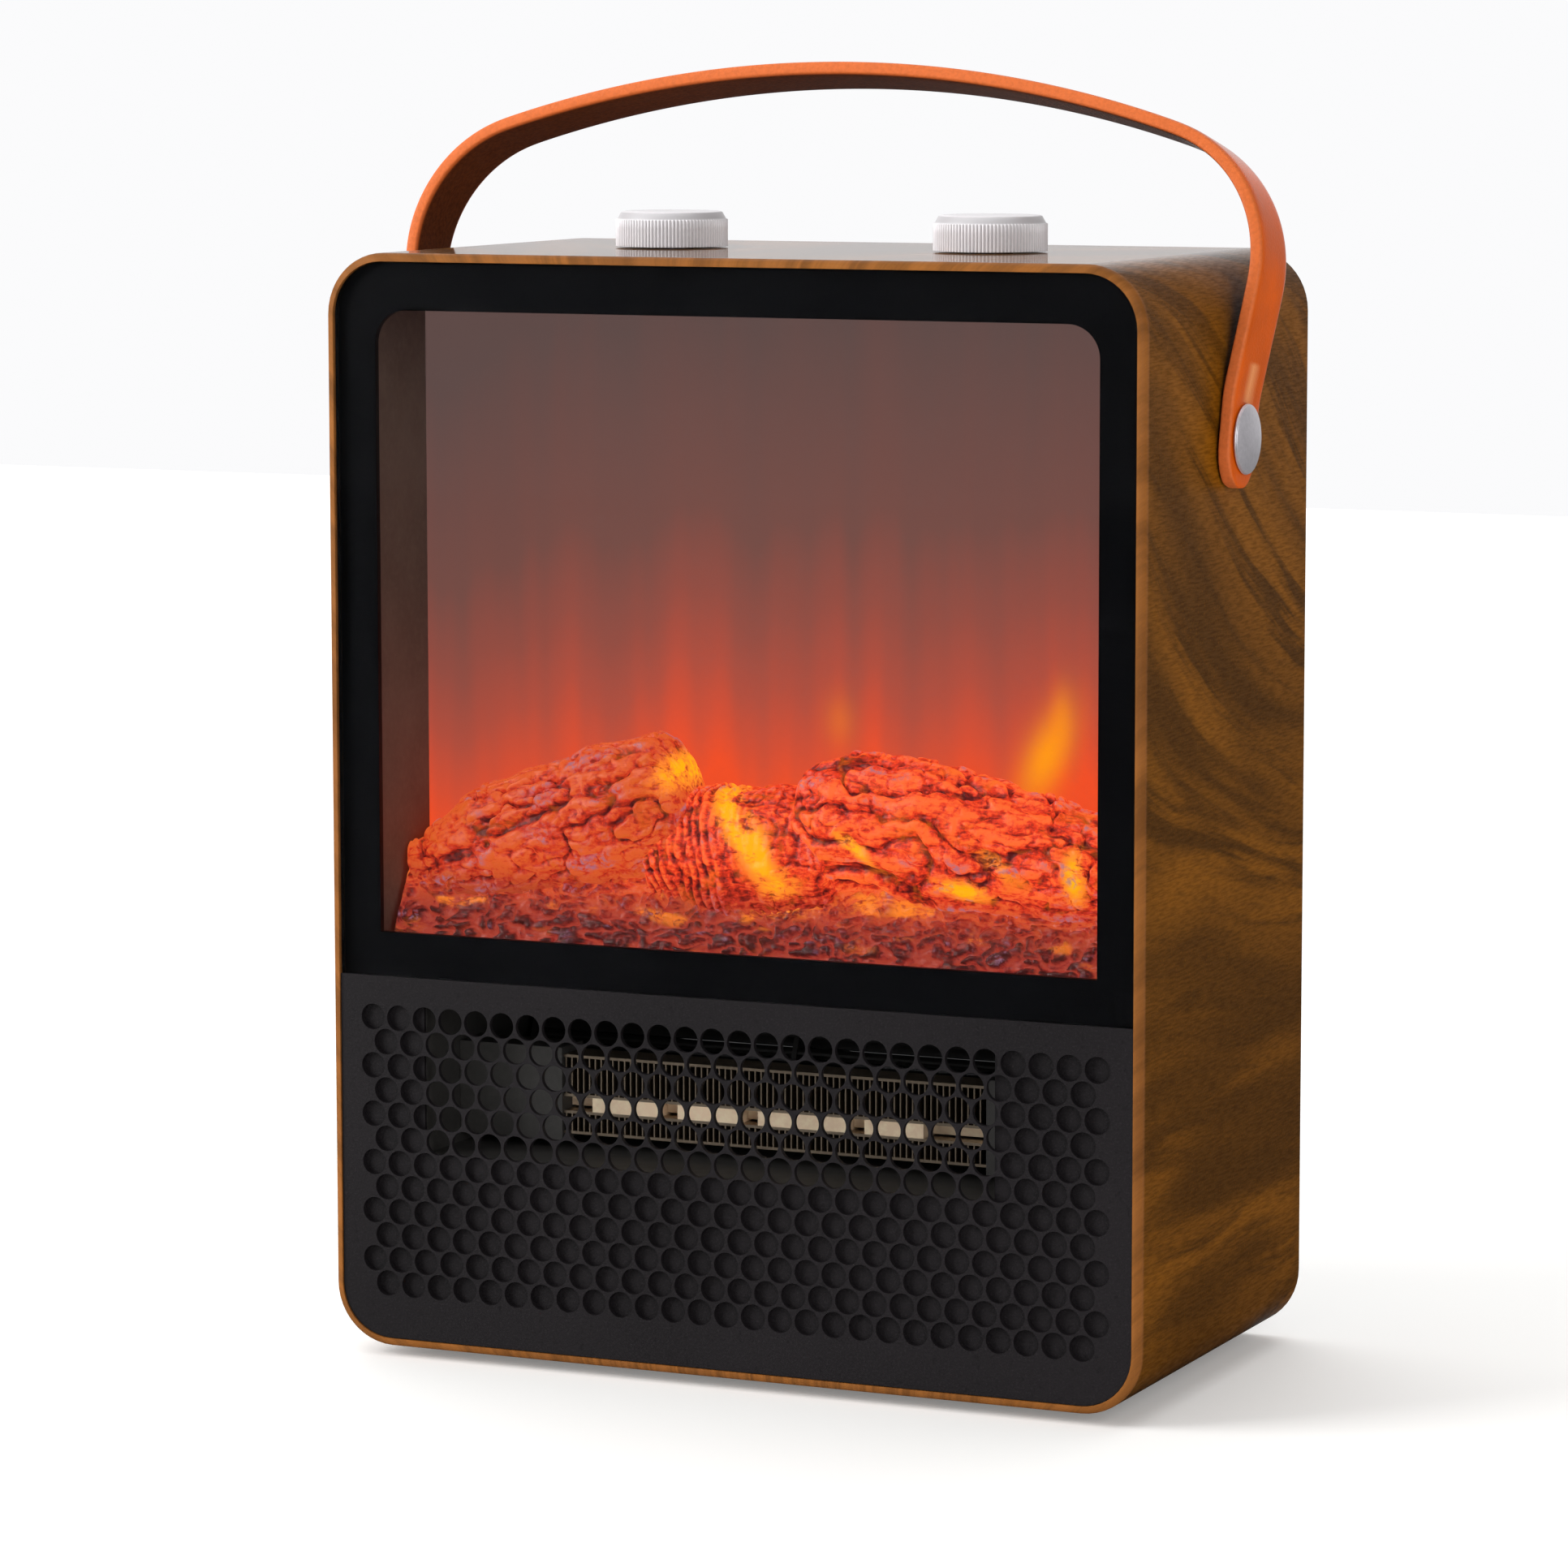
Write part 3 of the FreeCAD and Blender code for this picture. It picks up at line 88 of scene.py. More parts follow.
class HeaterStage(bpy.types.PropertyGroup):
    """Floor, lamps and camera."""

    floor_size: length("Floor size", "Side of the square floor", 6000)
    floor_tone: colour("Floor", "Pale floor", 244, 243, 241)
    floor_lift: amount("Floor lift", "Light added to the floor where the camera sees it", 0.22)
    air_tone: colour("Surroundings", "Colour of the even light round the object", 252, 252, 253)
    air_seen: amount("Backdrop", "Brightness of the backdrop to the camera", 0.99)
    air_back: amount("Light from behind", "Strength of the even light behind the object", 0.9)
    air_front: amount("Light from the front", "Strength of the even light in front of the object", 0.22)
    key_power: amount("Key power", "Watts of the tall lamp at the front left", 42)
    fill_power: amount("Fill power", "Watts of the tall lamp at the front right", 20)
    sun_power: amount("Overhead power", "Strength of the broad light from above", 1.6)
    camera_place: FloatVectorProperty(
        name="Camera", description="Camera place", subtype="TRANSLATION", default=(0.7137, -1.6042, 0.3881)
    )
    camera_back: FloatVectorProperty(
        name="Camera back",
        description="Direction from the heater to the camera",
        subtype="DIRECTION",
        default=(0.4087, -0.9041, 0.1248),
    )
    camera_roll: amount("Camera roll", "Degrees of roll", -0.078)
    camera_lens: amount("Lens", "Focal length in millimetres on a 36 mm sensor", 138.76)


class HeaterWood(bpy.types.PropertyGroup):
    """Walnut print wrapped round the case."""

    dark: colour("Dark streak", "Darkest streaks of the grain", 38, 20, 2)
    middle: colour("Middle", "Body of the grain", 108, 66, 10)
    light: colour("Light", "Lightest bands of the grain", 162, 98, 14)
    # Rim colour is painted highlight: a lighter tone standing in for the light caught by the front
    # round-over.
    rim: colour("Rim", "Lacquered front rim", 164, 104, 56)
    top: length("Top", "Height where the wrap turns over", 323)
    front: length("Front", "Depth where the front rim starts, before the middle", 63.6)
    rim_blend: length("Rim blend", "Half the depth over which the rim's colour comes in", 0.9)
    roughness: amount("Roughness", "Printed film under the lacquer", 0.4)
    gloss: amount("Gloss", "Share of clear lacquer over the film", 0.6)


class HeaterFire(bpy.types.PropertyGroup):
    """Screen behind the logs and the light on it."""

    screen_top: colour("Screen top", "Screen well above the logs", 94, 74, 71)
    screen_middle: colour("Screen middle", "Screen half way down", 116, 75, 68)
    screen_low: colour("Screen low", "Screen just above the logs", 176, 77, 60)
    screen_base: colour("Screen base", "Screen behind the logs", 240, 78, 38)
    flame: colour("Flame", "Middle of a flame", 255, 150, 20)
    liner: colour("Liner", "Plastic walls of the firebox", 92, 76, 66)
    board: colour("Board", "Circuit boards", 28, 70, 40)
    lamp_dim: colour("Lamp, dim", "Lamps where the epoxy is thick", 255, 140, 30)
    lamp_bright: colour("Lamp, bright", "Lamps where the epoxy is thin", 255, 190, 90)


class HeaterLogs(bpy.types.PropertyGroup):
    """Moulded log bed lit from below."""

    crevice: colour("Crevice", "Deep furrows", 66, 12, 16)
    body: colour("Body", "Lit resin", 232, 58, 30)
    ridge: colour("Ridge", "Tops of the bark", 255, 106, 48)
    # Painted reflection: lilac-grey put on the ridge tops for the glossy resin catching the light.
    ridge_reflection: colour("Ash", "Dusty highlights on the ridges", 150, 108, 134)
    hot: colour("Hot", "Thin places right over a lamp", 255, 178, 14)
    # Colour of dark embers, and also the colour that painted shade dims the resin's glow toward.
    coal_and_shade: colour("Coal", "Dark embers in front", 50, 18, 18)
    dusk: colour("Dusk", "Resin low in the bank, farther from the lamps", 128, 44, 42)
    glow: amount("Glow", "Strength of the light in the resin", 1.0)
    bank_top: length("Bank top", "Height where the resin starts to darken", 149)
    bank_foot: length("Bank foot", "Height where it is darkest", 130)


class HeaterPlastic(bpy.types.PropertyGroup):
    """Moulded plastics."""

    charcoal: colour("Charcoal", "Grille front", 28, 25, 27)
    black: colour("Black", "Bezel, back and inner mouldings", 16, 16, 18)
    border: colour("Border", "Black border behind the glass", 7, 8, 11)
    duct: colour("Duct", "Heat-proof plastic of the duct and blower", 62, 60, 58)
    rubber: colour("Rubber", "Feet and cable gland", 22, 22, 22)
    plunger: colour("Plunger", "Plunger of the tip-over switch", 170, 34, 26)


class HeaterMetal(bpy.types.PropertyGroup):
    """Metals and the heating element."""

    # Knob colour is near white: partly the knobs' own pale silver, partly painted reflection of the bright
    # surroundings.
    knob: colour("Knob", "Silver knobs", 252, 249, 252)
    nickel: colour("Nickel", "Rivet caps", 222, 218, 224)
    steel: colour("Steel", "Screws, nuts and shafts", 150, 150, 154)
    zinc: colour("Zinc", "Bent sheet brackets", 164, 166, 170)
    fin: colour("Fin", "Aluminium fins", 190, 172, 150)
    ceramic: colour("Ceramic", "Ceramic heating bar", 236, 208, 176)
    copper: colour("Copper", "Motor winding", 184, 98, 48)
    bronze: colour("Bronze", "Sintered bush", 150, 112, 62)
    mirror: colour("Mirror", "Vanes of the flame spindle", 200, 200, 204)
    can: colour("Motor can", "Can of the spindle's motor", 120, 122, 126)


class HeaterKnobs(bpy.types.PropertyGroup):
    """Knurled knobs."""

    teeth: IntProperty(name="Teeth", description="Ridges round a knob", default=96, min=12)
    depth: length("Knurl depth", "Depth of the ridges", 0.45)
    band: length("Band height", "Height of the knurled band", 7.9)


class HeaterStrap(bpy.types.PropertyGroup):
    """Leather strap and its rivets."""

    leather: colour("Leather", "Smooth outer face", 216, 90, 4)
    # Edge colour: partly the burnished edge's own tone, partly painted highlight where the edge catches the
    # light.
    burnish_and_highlight: colour("Burnish", "Polished cut edge", 216, 110, 56)
    inside: colour("Inside", "Flesh side", 92, 44, 18)
    # Slit colour: partly the raw cut's own tone, partly painted highlight along the light line over the
    # rivet.
    slit: colour("Slit", "Raw edge of the slit above a rivet", 236, 150, 92)
    thick: length("Thickness", "Leather thickness", 4.2)
    width: length("Width", "Strap width", 22)
    outer: length("Half width", "Outer face at the rivets from the middle", 131.1)
    crown_radius: length("Crown radius", "Radius of the long top curve, outer face", 341)
    crown_half: length("Crown half span", "Half the span of the top curve", 107)
    shoulder: length("Shoulder radius", "Radius of the shoulder, outer face", 42)
    top: length("Top", "Outer face above the rivets", 106.1)
    pad: length("Pad", "Straight stretch above the rivets", 12)
    tail: length("Tail", "Strap below the rivets", 14)
    lean: FloatProperty(
        name="Lean", description="Lean to the back", default=math.radians(13), unit="ROTATION"
    )
    rivet_radius: length("Rivet radius", "Rivet cap radius", 10)
    rivet_dome: length("Rivet dome", "Rivet cap height", 2.6)


# Where the settings hang on a scene.
GROUPS = {
    "heater_stage": HeaterStage,
    "heater_wood": HeaterWood,
    "heater_fire": HeaterFire,
    "heater_logs": HeaterLogs,
    "heater_plastic": HeaterPlastic,
    "heater_metal": HeaterMetal,
    "heater_knobs": HeaterKnobs,
    "heater_strap": HeaterStrap,
}


# ---------------------------------------------------------------- materials


class Shade:
    """One material, built node by node."""

    def __init__(self, label):
        self.material = bpy.data.materials.new(label)
        self.material.use_nodes = True
        self.tree = self.material.node_tree
        self.tree.nodes.clear()
        self.place = self.node("ShaderNodeTexCoord").outputs["Object"]

    def node(self, kind, feed=None, **settings):
        """New node with its settings, and its inputs fed by sockets or plain values."""
        made = self.tree.nodes.new(kind)
        for key, value in settings.items():
            setattr(made, key, value)
        for key, value in (feed or {}).items():
            if isinstance(value, bpy.types.NodeSocket):
                self.tree.links.new(value, made.inputs[key])
            else:
                made.inputs[key].default_value = value
        return made

    def stretch(self, scale):
        """Coordinates times a scale on each axis."""
        return self.node("ShaderNodeMapping", {"Vector": self.place, "Scale": scale}).outputs["Vector"]

    def noise(self, vector, scale=1.0, detail=3.0, rough=0.5, warp=0.0):
        """Fractal noise, 0 to 1."""
        feed = {"Vector": vector, "Scale": scale, "Detail": detail, "Roughness": rough, "Distortion": warp}
        return self.node("ShaderNodeTexNoise", feed).outputs["Fac"]

    def strands(self, across, along, scales, detail, rough=0.5, warp=0.0):
        """Noise drawn out into strands, scaled once across them and once along them."""
        pairs = zip((across, along), scales)
        drawn = self.vector(*(self.math("MULTIPLY", value, scale) for value, scale in pairs))
        return self.noise(drawn, 1.0, detail, rough, warp)

    def cells(self, vector, scale):
        """Distance from the nearest of many scattered points."""
        return self.node("ShaderNodeTexVoronoi", {"Vector": vector, "Scale": scale}).outputs["Distance"]

    def math(self, kind, first, second=0.0, third=0.0):
        """Arithmetic on values."""
        made = self.node("ShaderNodeMath", {0: first, 1: second, 2: third}, operation=kind)
        return made.outputs[0]

    def span(self, value, low, high, new_low=0.0, new_high=1.0):
        """Value moved from one range to another and held inside it."""
        feed = {"Value": value, "From Min": low, "From Max": high, "To Min": new_low, "To Max": new_high}
        return self.node("ShaderNodeMapRange", feed, interpolation_type="SMOOTHSTEP").outputs["Result"]

    def bell(self, square):
        """Gaussian of a squared distance."""
        return self.math("POWER", math.e, self.math("MULTIPLY", square, -1.0))

    def mix(self, factor, first, second):
        """Blend of two colours."""
        made = self.node("ShaderNodeMix", {0: factor}, data_type="RGBA")
        for index, value in ((6, first), (7, second)):
            if isinstance(value, bpy.types.NodeSocket):
                self.tree.links.new(value, made.inputs[index])
            else:
                made.inputs[index].default_value = value
        return made.outputs[2]

    def ramp(self, factor, *stops):
        """Colour ramp with stops of (position, colour)."""
        made = self.node("ShaderNodeValToRGB", {"Fac": factor})
        while len(made.color_ramp.elements) < len(stops):
            made.color_ramp.elements.new(1.0)
        for element, (position, value) in zip(made.color_ramp.elements, stops):
            element.position = position
            element.color = value
        return made.outputs["Color"]

    def axes(self):
        """The place along X, Y and Z."""
        made = self.node("ShaderNodeSeparateXYZ", {"Vector": self.place})
        return made.outputs["X"], made.outputs["Y"], made.outputs["Z"]

    def vector(self, first, second, third=0.0):
        """Vector from three values."""
        return self.node("ShaderNodeCombineXYZ", {"X": first, "Y": second, "Z": third}).outputs["Vector"]

    def grazing(self, low, high, most):
        """Weight that rises where the surface is seen nearly edge on, for gloss."""
        facing = self.node("ShaderNodeLayerWeight", {"Blend": 0.5}).outputs["Facing"]
        return self.span(facing, low, high, 0.0, most)

    def given(self, label):
        """Value stored on the mesh."""
        return self.node("ShaderNodeAttribute", attribute_name=label).outputs["Fac"]

    def bump(self, height, distance):
        """Normal bent by a height, with the distance in millimetres."""
        feed = {"Height": height, "Distance": distance * MM, "Strength": 1.0}
        return self.node("ShaderNodeBump", feed).outputs["Normal"]

    def finish(self, **feed):
        """Principled surface on the output, keys with spaces written as underscores."""
        named = {key.replace("_", " "): value for key, value in feed.items()}
        shader = self.node("ShaderNodeBsdfPrincipled", named)
        self.node("ShaderNodeOutputMaterial", {"Surface": shader.outputs["BSDF"]})
        return self.material


def scaled(value, factor):
    """Colour times a factor, alpha kept."""
    return (*(min(1.0, part * factor) for part in tuple(value)[:3]), 1.0)


def shade_between(first, second, share):
    """Colour part of the way from one to another."""
    return tuple(a + (b - a) * share for a, b in zip(tuple(first), tuple(second)))


def moulded(label, base, roughness=0.5, grain=0.03, pitch=900.0, **more):
    """Moulded plastic: spark-eroded grain, faint flow mottling and uneven sheen."""
    shade = Shade(label)
    fine = shade.noise(shade.place, pitch, 2.0, 0.6)
    broad = shade.noise(shade.place, 24.0, 3.0)
    tint = shade.mix(shade.span(broad, 0.3, 0.7), scaled(base, 0.86), scaled(base, 1.14))
    tint = shade.mix(shade.span(fine, 0.35, 0.75, 0.0, 0.35), tint, scaled(base, 1.5))
    rough = shade.span(shade.noise(shade.place, 60.0, 4.0), 0.3, 0.7, roughness - 0.06, roughness + 0.08)
    return shade.finish(Base_Color=tint, Roughness=rough, Normal=shade.bump(fine, grain), **more)


def metal(label, base, roughness=0.3, stretch=(60, 1200, 1200), depth=0.01, stain=0.12, metallic=1.0):
    """Bare metal: drawn lines along one axis, cloudy tarnish and uneven gloss."""
    shade = Shade(label)
    lines = shade.noise(shade.stretch(stretch), 1.0, 3.0, 0.6)
    cloud = shade.noise(shade.place, 70.0, 4.0)
    tint = shade.mix(shade.span(cloud, 0.35, 0.7), scaled(base, 1 + stain), scaled(base, 1 - 2 * stain))
    tint = shade.mix(shade.span(lines, 0.3, 0.7, 0.0, 0.3), tint, scaled(base, 0.7))
    rough = shade.math("MULTIPLY_ADD", cloud, 0.22, roughness - 0.08)
    return shade.finish(Base_Color=tint, Metallic=metallic, Roughness=rough, Normal=shade.bump(lines, depth))


def paint(nodes, material):
    """Gives a CAD node's mesh this material in every slot."""
    for label in nodes.split():
        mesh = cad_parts[label].data
        mesh.materials.clear()
        mesh.materials.append(material)


# ---------------------------------------------------------------- surfaces


def skin(label, grid, material, body, around=True, capped=True, attributes=None):
    """Piece from a grid of points, rows along it and columns round it.

    Columns close on themselves when around is set, and each open end then closes to a pole at its
    ring's middle when capped is set. Faces are turned outward by the sign of the enclosed volume.
    """
    rows, columns = grid.shape[:2]
    points = grid.reshape(-1, 3)
    index = np.arange(rows * columns).reshape(rows, columns)
    following = np.roll(index, -1, axis=1) if around else index[:, 1:]
    current = index if around else index[:, :-1]
    quads = np.stack([current[:-1], following[:-1], following[1:], current[1:]], axis=-1).reshape(-1, 4)
    fans = np.zeros((0, 3), int)
    if capped:
        poles = np.stack([grid[0].mean(axis=0), grid[-1].mean(axis=0)])
        points = np.vstack([points, poles])
        first = np.stack([following[0], current[0], np.full(columns, rows * columns)], axis=-1)
        last = np.stack([current[-1], following[-1], np.full(columns, rows * columns + 1)], axis=-1)
        fans = np.vstack([first, last])
    corners = points[quads]
    volume = np.einsum("ij,ij->i", np.cross(corners[:, 0], corners[:, 1]), corners[:, 2]).sum()
    volume += np.einsum("ij,ij->i", np.cross(corners[:, 0], corners[:, 2]), corners[:, 3]).sum()
    ends = points[fans]
    volume += np.einsum("ij,ij->i", np.cross(ends[:, 0], ends[:, 1]), ends[:, 2]).sum()
    if volume < 0:
        quads, fans = quads[:, ::-1], fans[:, ::-1]
    mesh = bpy.data.meshes.new(label)
    mesh.from_pydata(points.tolist(), [], quads.tolist() + fans.tolist())
    if mesh.validate():
        raise RuntimeError(f"{label} has broken faces")
    mesh.shade_smooth()
    for key, values in (attributes or {}).items():
        flat = np.asarray(values, float).reshape(-1)
        if capped:
            flat = np.append(flat, [flat[:columns].mean(), flat[-columns:].mean()])
        layer = mesh.attributes.new(key, "FLOAT", "POINT")
        layer.data.foreach_set("value", flat.astype(np.float32))
    mesh.materials.append(material)
    made = bpy.data.objects.new(label, mesh)
    bpy.context.scene.collection.objects.link(made)
    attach(made, body)
    return made


def lattice(points, seed):
    """Value noise from -1 to 1: random numbers on the corners of unit cubes, blended with a cubic step."""
    size = 48
    table = np.random.default_rng(seed).uniform(-1, 1, (size, size, size))
    cell = np.floor(points).astype(int)
    part = points - cell
    part = part * part * (3 - 2 * part)
    total = np.zeros(points.shape[:-1])
    for corner in itertools.product((0, 1), repeat=3):
        share = np.prod(np.where(corner, part, 1 - part), axis=-1)
        near = (cell + corner) % size
        total += share * table[near[..., 0], near[..., 1], near[..., 2]]
    return total


def fractal(points, seed, octaves=3):
    """Value noise summed over octaves, each half as strong and twice as fine."""
    total = sum(lattice(points * 2**step, seed + step) / 2**step for step in range(octaves))
    return total / (2 - 0.5 ** (octaves - 1))


def step(value, low, high):
    """Cubic step from 0 at low to 1 at high."""
    share = np.clip((value - low) / (high - low), 0, 1)
    return share * share * (3 - 2 * share)


# ---------------------------------------------------------------- stage


# Point the soft lamps are turned to.
AIM = Vector((0, 0, 0.17))
# Soft lamps: label, place, width and height.
LAMPS = (("key", (-1.5, -1.05, 0.85), (1.1, 1.9)), ("fill", (1.55, -1.5, 0.75), (0.9, 1.7)))
# Direction of the bright side of the surroundings, and the cosines off it between which light rises.
BRIGHT_SIDE = (-0.42, 0.88, 0.2)
BRIGHT_FROM, BRIGHT_TO = 0.55, 0.95
# Spread of the overhead light and its lean about X and Y, in degrees.
OVERHEAD_SPREAD, OVERHEAD_LEAN = 70, (-14, -10)
# Distances from the middle between which the floor lifts toward the backdrop, and by how much.
LIFT_FROM, LIFT_TO, LIFT_RISE = 0.6, 2.8, 0.4


def put(scene, label, data):
    """Object with this data, linked to the scene."""
    made = bpy.data.objects.new(label, data)
    scene.collection.objects.link(made)
    return made


def floor_paint(stage):
    """Pale paint, dark to glossy reflections and lifted toward the backdrop for the camera."""
    shade = Shade("floor_paint")
    cloud = shade.noise(shade.place, 3.0, 3.0)
    tint = shade.mix(cloud, scaled(stage.floor_tone, 0.98), stage.floor_tone)
    ray = shade.node("ShaderNodeLightPath")
    tint = shade.mix(ray.outputs["Is Glossy Ray"], tint, scaled(stage.floor_tone, 0.04))
    x, y, _ = shade.axes()
    away = shade.math("SQRT", shade.math("MULTIPLY_ADD", x, x, shade.math("MULTIPLY", y, y)))
    lift = shade.span(away, LIFT_FROM, LIFT_TO, stage.floor_lift, stage.floor_lift + LIFT_RISE)
    lift = shade.math("MULTIPLY", ray.outputs["Is Camera Ray"], lift)
    return shade.finish(Base_Color=tint, Roughness=0.7, Emission_Color=tint, Emission_Strength=lift)


def surroundings(stage):
    """World of even light, stronger behind the object, and a plain backdrop for the camera."""
    world = bpy.data.worlds.new("surroundings")
    world.use_nodes = True
    tree = world.node_tree
    link = tree.links.new
    backdrop = tree.nodes["Background"]
    backdrop.inputs["Color"].default_value = stage.air_tone
    facing = tree.nodes.new("ShaderNodeVectorMath")
    facing.operation = "DOT_PRODUCT"
    facing.inputs[1].default_value = BRIGHT_SIDE
    link(tree.nodes.new("ShaderNodeTexCoord").outputs["Generated"], facing.inputs[0])
    spread = tree.nodes.new("ShaderNodeMapRange")
    spread.inputs["From Min"].default_value = BRIGHT_FROM
    spread.inputs["From Max"].default_value = BRIGHT_TO
    spread.inputs["To Min"].default_value = stage.air_front
    spread.inputs["To Max"].default_value = stage.air_back
    link(facing.outputs["Value"], spread.inputs["Value"])
    seen = tree.nodes.new("ShaderNodeMix")
    link(tree.nodes.new("ShaderNodeLightPath").outputs["Is Camera Ray"], seen.inputs[0])
    link(spread.outputs["Result"], seen.inputs[2])
    seen.inputs[3].default_value = stage.air_seen
    link(seen.outputs[0], backdrop.inputs["Strength"])
    return world


def hang_lamps(scene, stage):
    """Two tall soft lamps in front and a broad light from above."""
    for (label, place, (wide, tall)), power in zip(LAMPS, (stage.key_power, stage.fill_power)):
        data = bpy.data.lights.new(label, "AREA")
        data.energy = power
        data.shape = "RECTANGLE"
        data.size = wide
        data.size_y = tall
        lamp = put(scene, label, data)
        lamp.location = place
        lamp.rotation_euler = (AIM - Vector(place)).to_track_quat("-Z", "Y").to_euler()
    data = bpy.data.lights.new("overhead", "SUN")
    data.energy = stage.sun_power
    data.angle = math.radians(OVERHEAD_SPREAD)
    put(scene, "overhead", data).rotation_euler = (*map(math.radians, OVERHEAD_LEAN), 0)


def set_camera(scene, stage):
    """Camera from its place, the direction back from the heater and its roll."""
    back = Vector(stage.camera_back).normalized()
    right = Vector((0, 0, 1)).cross(back).normalized()
    right = Matrix.Rotation(math.radians(stage.camera_roll), 3, back) @ right
    up = back.cross(right)
    data = bpy.data.cameras.new("camera")
    data.lens = stage.camera_lens
    data.sensor_width = 36
    data.clip_start = 0.05
    camera = put(scene, "camera", data)
    turn = Matrix((right, up, back)).transposed().to_4x4()
    camera.matrix_world = Matrix.Translation(stage.camera_place) @ turn
    scene.camera = camera


class HEATER_OT_stage(bpy.types.Operator):
    """Floor, soft lamps and the camera."""

    bl_idname = "heater.stage"
    bl_label = "Stage"
    bl_options = {"REGISTER", "UNDO"}

    def execute(self, context):
        """Lays a pale floor under the feet, lights it and sets the camera."""
        scene = context.scene
        stage = scene.heater_stage
        half = stage.floor_size / 2
        corners = [(-half, -half, 0), (half, -half, 0), (half, half, 0), (-half, half, 0)]
        mesh = bpy.data.meshes.new("floor")
        mesh.from_pydata(corners, [], [(0, 1, 2, 3)])
        mesh.materials.append(floor_paint(stage))
        floor = put(scene, "floor", mesh)
        scene.world = surroundings(stage)
        hang_lamps(scene, stage)
        set_camera(scene, stage)
        scene.view_settings.view_transform = "Standard"
        return {"FINISHED"}


# ---------------------------------------------------------------- case and window


def walnut(wood):
    """Walnut print whose streaks run from front to back and dip toward the back near the top, with a painted
    highlight on the front rim.
    """
    shade = Shade("walnut_print")
    x, y, z = shade.axes()
    side = shade.span(x, -0.1, 0.1, -1.0, 1.0)
    drop = shade.math("SUBTRACT", wood.top, z)
    round_way = shade.math("MULTIPLY_ADD", side, drop, x)
    slope = shade.span(z, 0.06, 0.30, 0.05, -0.75)
    bend = shade.noise(shade.stretch((9, 7, 9)), 1.0, 2.0)
    level = shade.math("MULTIPLY_ADD", y, slope, drop)
    level = shade.math("MULTIPLY_ADD", bend, 0.03, level)
    level = shade.math("MULTIPLY_ADD", side, level, x)
    streaks = shade.strands(level, y, (95.0, 9.0), 4.0, 0.62, 0.5)
    bands = shade.strands(level, y, (26.0, 5.0), 2.0, 0.5, 0.8)
    fibre = shade.strands(round_way, y, (1500.0, 150.0), 2.0, 0.6)
    speck = shade.noise(shade.place, 1400.0, 1.0)
    tint = shade.mix(shade.span(bands, 0.34, 0.68), wood.dark, wood.light)
    tint = shade.mix(shade.span(streaks, 0.34, 0.56), wood.dark, tint)
    tint = shade.mix(0.55, tint, wood.middle)
    tint = shade.mix(shade.span(fibre, 0.35, 0.7, 0.0, 0.4), tint, scaled(wood.dark, 0.8))
    tint = shade.mix(shade.span(speck, 0.55, 0.8, 0.0, 0.3), tint, wood.light)
    # Painted highlight: the front rim takes the lighter rim colour, for the light its round-over catches.
    ahead = shade.math("MULTIPLY", y, -1.0)
    rim_highlight_mask = shade.span(ahead, wood.front - wood.rim_blend, wood.front + wood.rim_blend, 0.0, 0.6)
    rim = shade.mix(shade.span(streaks, 0.3, 0.7), scaled(wood.rim, 0.6), wood.rim)
    tint = shade.mix(rim_highlight_mask, tint, rim)
    return shade.finish(
        Base_Color=tint,
        Roughness=shade.span(fibre, 0.3, 0.7, wood.roughness - 0.05, wood.roughness + 0.09),
        Normal=shade.bump(shade.math("MULTIPLY_ADD", streaks, 0.4, fibre), 0.005),
        Specular_IOR_Level=0.05,
        Coat_Weight=shade.grazing(0.72, 0.95, wood.gloss),
        Coat_Roughness=0.05,
    )


class HEATER_OT_case(bpy.types.Operator):
    """Wood wrap on the case."""

    bl_idname = "heater.case"
    bl_label = "Case"
    bl_options = {"REGISTER", "UNDO"}

    def execute(self, context):
        """Paints the wrap, the back, the feet and the inner mouldings."""
        plastic = context.scene.heater_plastic
        paint("case_shell", walnut(context.scene.heater_wood))
        paint("back_cover", moulded("back_plastic", plastic.black, 0.5, 0.05, 700.0))
        paint("rubber_feet cord_gland", moulded("rubber", plastic.rubber, 0.75, 0.02, 500.0))
        paint("screw_posts board_posts divider_shelf", moulded("inner_plastic", plastic.black, 0.55))
        return {"FINISHED"}


class HEATER_OT_window(bpy.types.Operator):
    """Glass pane and the black border behind it."""

    bl_idname = "heater.window"
    bl_label = "Window"
    bl_options = {"REGISTER", "UNDO"}

    def execute(self, context):
        """Clear pane with a trace of dust, over a gloss-black border."""
        shade = Shade("window_glass")
        smear = shade.noise(shade.place, 40.0, 4.0, 0.6, 1.0)
        rough = shade.span(smear, 0.4, 0.75, 0.0, 0.05)
        glass = shade.finish(Base_Color=(1, 1, 1, 1), Roughness=rough, Transmission_Weight=1.0, IOR=1.12)
        paint("front_glass", glass)
        border = context.scene.heater_plastic.border
        paint("window_bezel", moulded("border_black", border, 0.35, 0.01, Specular_IOR_Level=0.06))
        return {"FINISHED"}


# ---------------------------------------------------------------- firebox


# Where the glow climbs in plumes: place along X, reach and rise, in metres.
PLUMES = ((-0.0343, 0.007, 0.004), (0.0298, 0.006, 0.013), (0.0845, 0.005, 0.009))
# Flames: place along X and Z, half width and half height in metres, slant and strength.
FLAMES = (
    (0.0822, 0.1822, 0.0062, 0.0125, 0.35, 1.0),
    (0.0866, 0.1930, 0.0030, 0.0085, 0.05, 0.45),
    (0.0184, 0.1895, 0.0045, 0.0070, 0.0, 0.22),
)
# Height where the screen's colours start and how far they reach up it.
GLOW_FOOT, GLOW_REACH = 0.168, 0.14


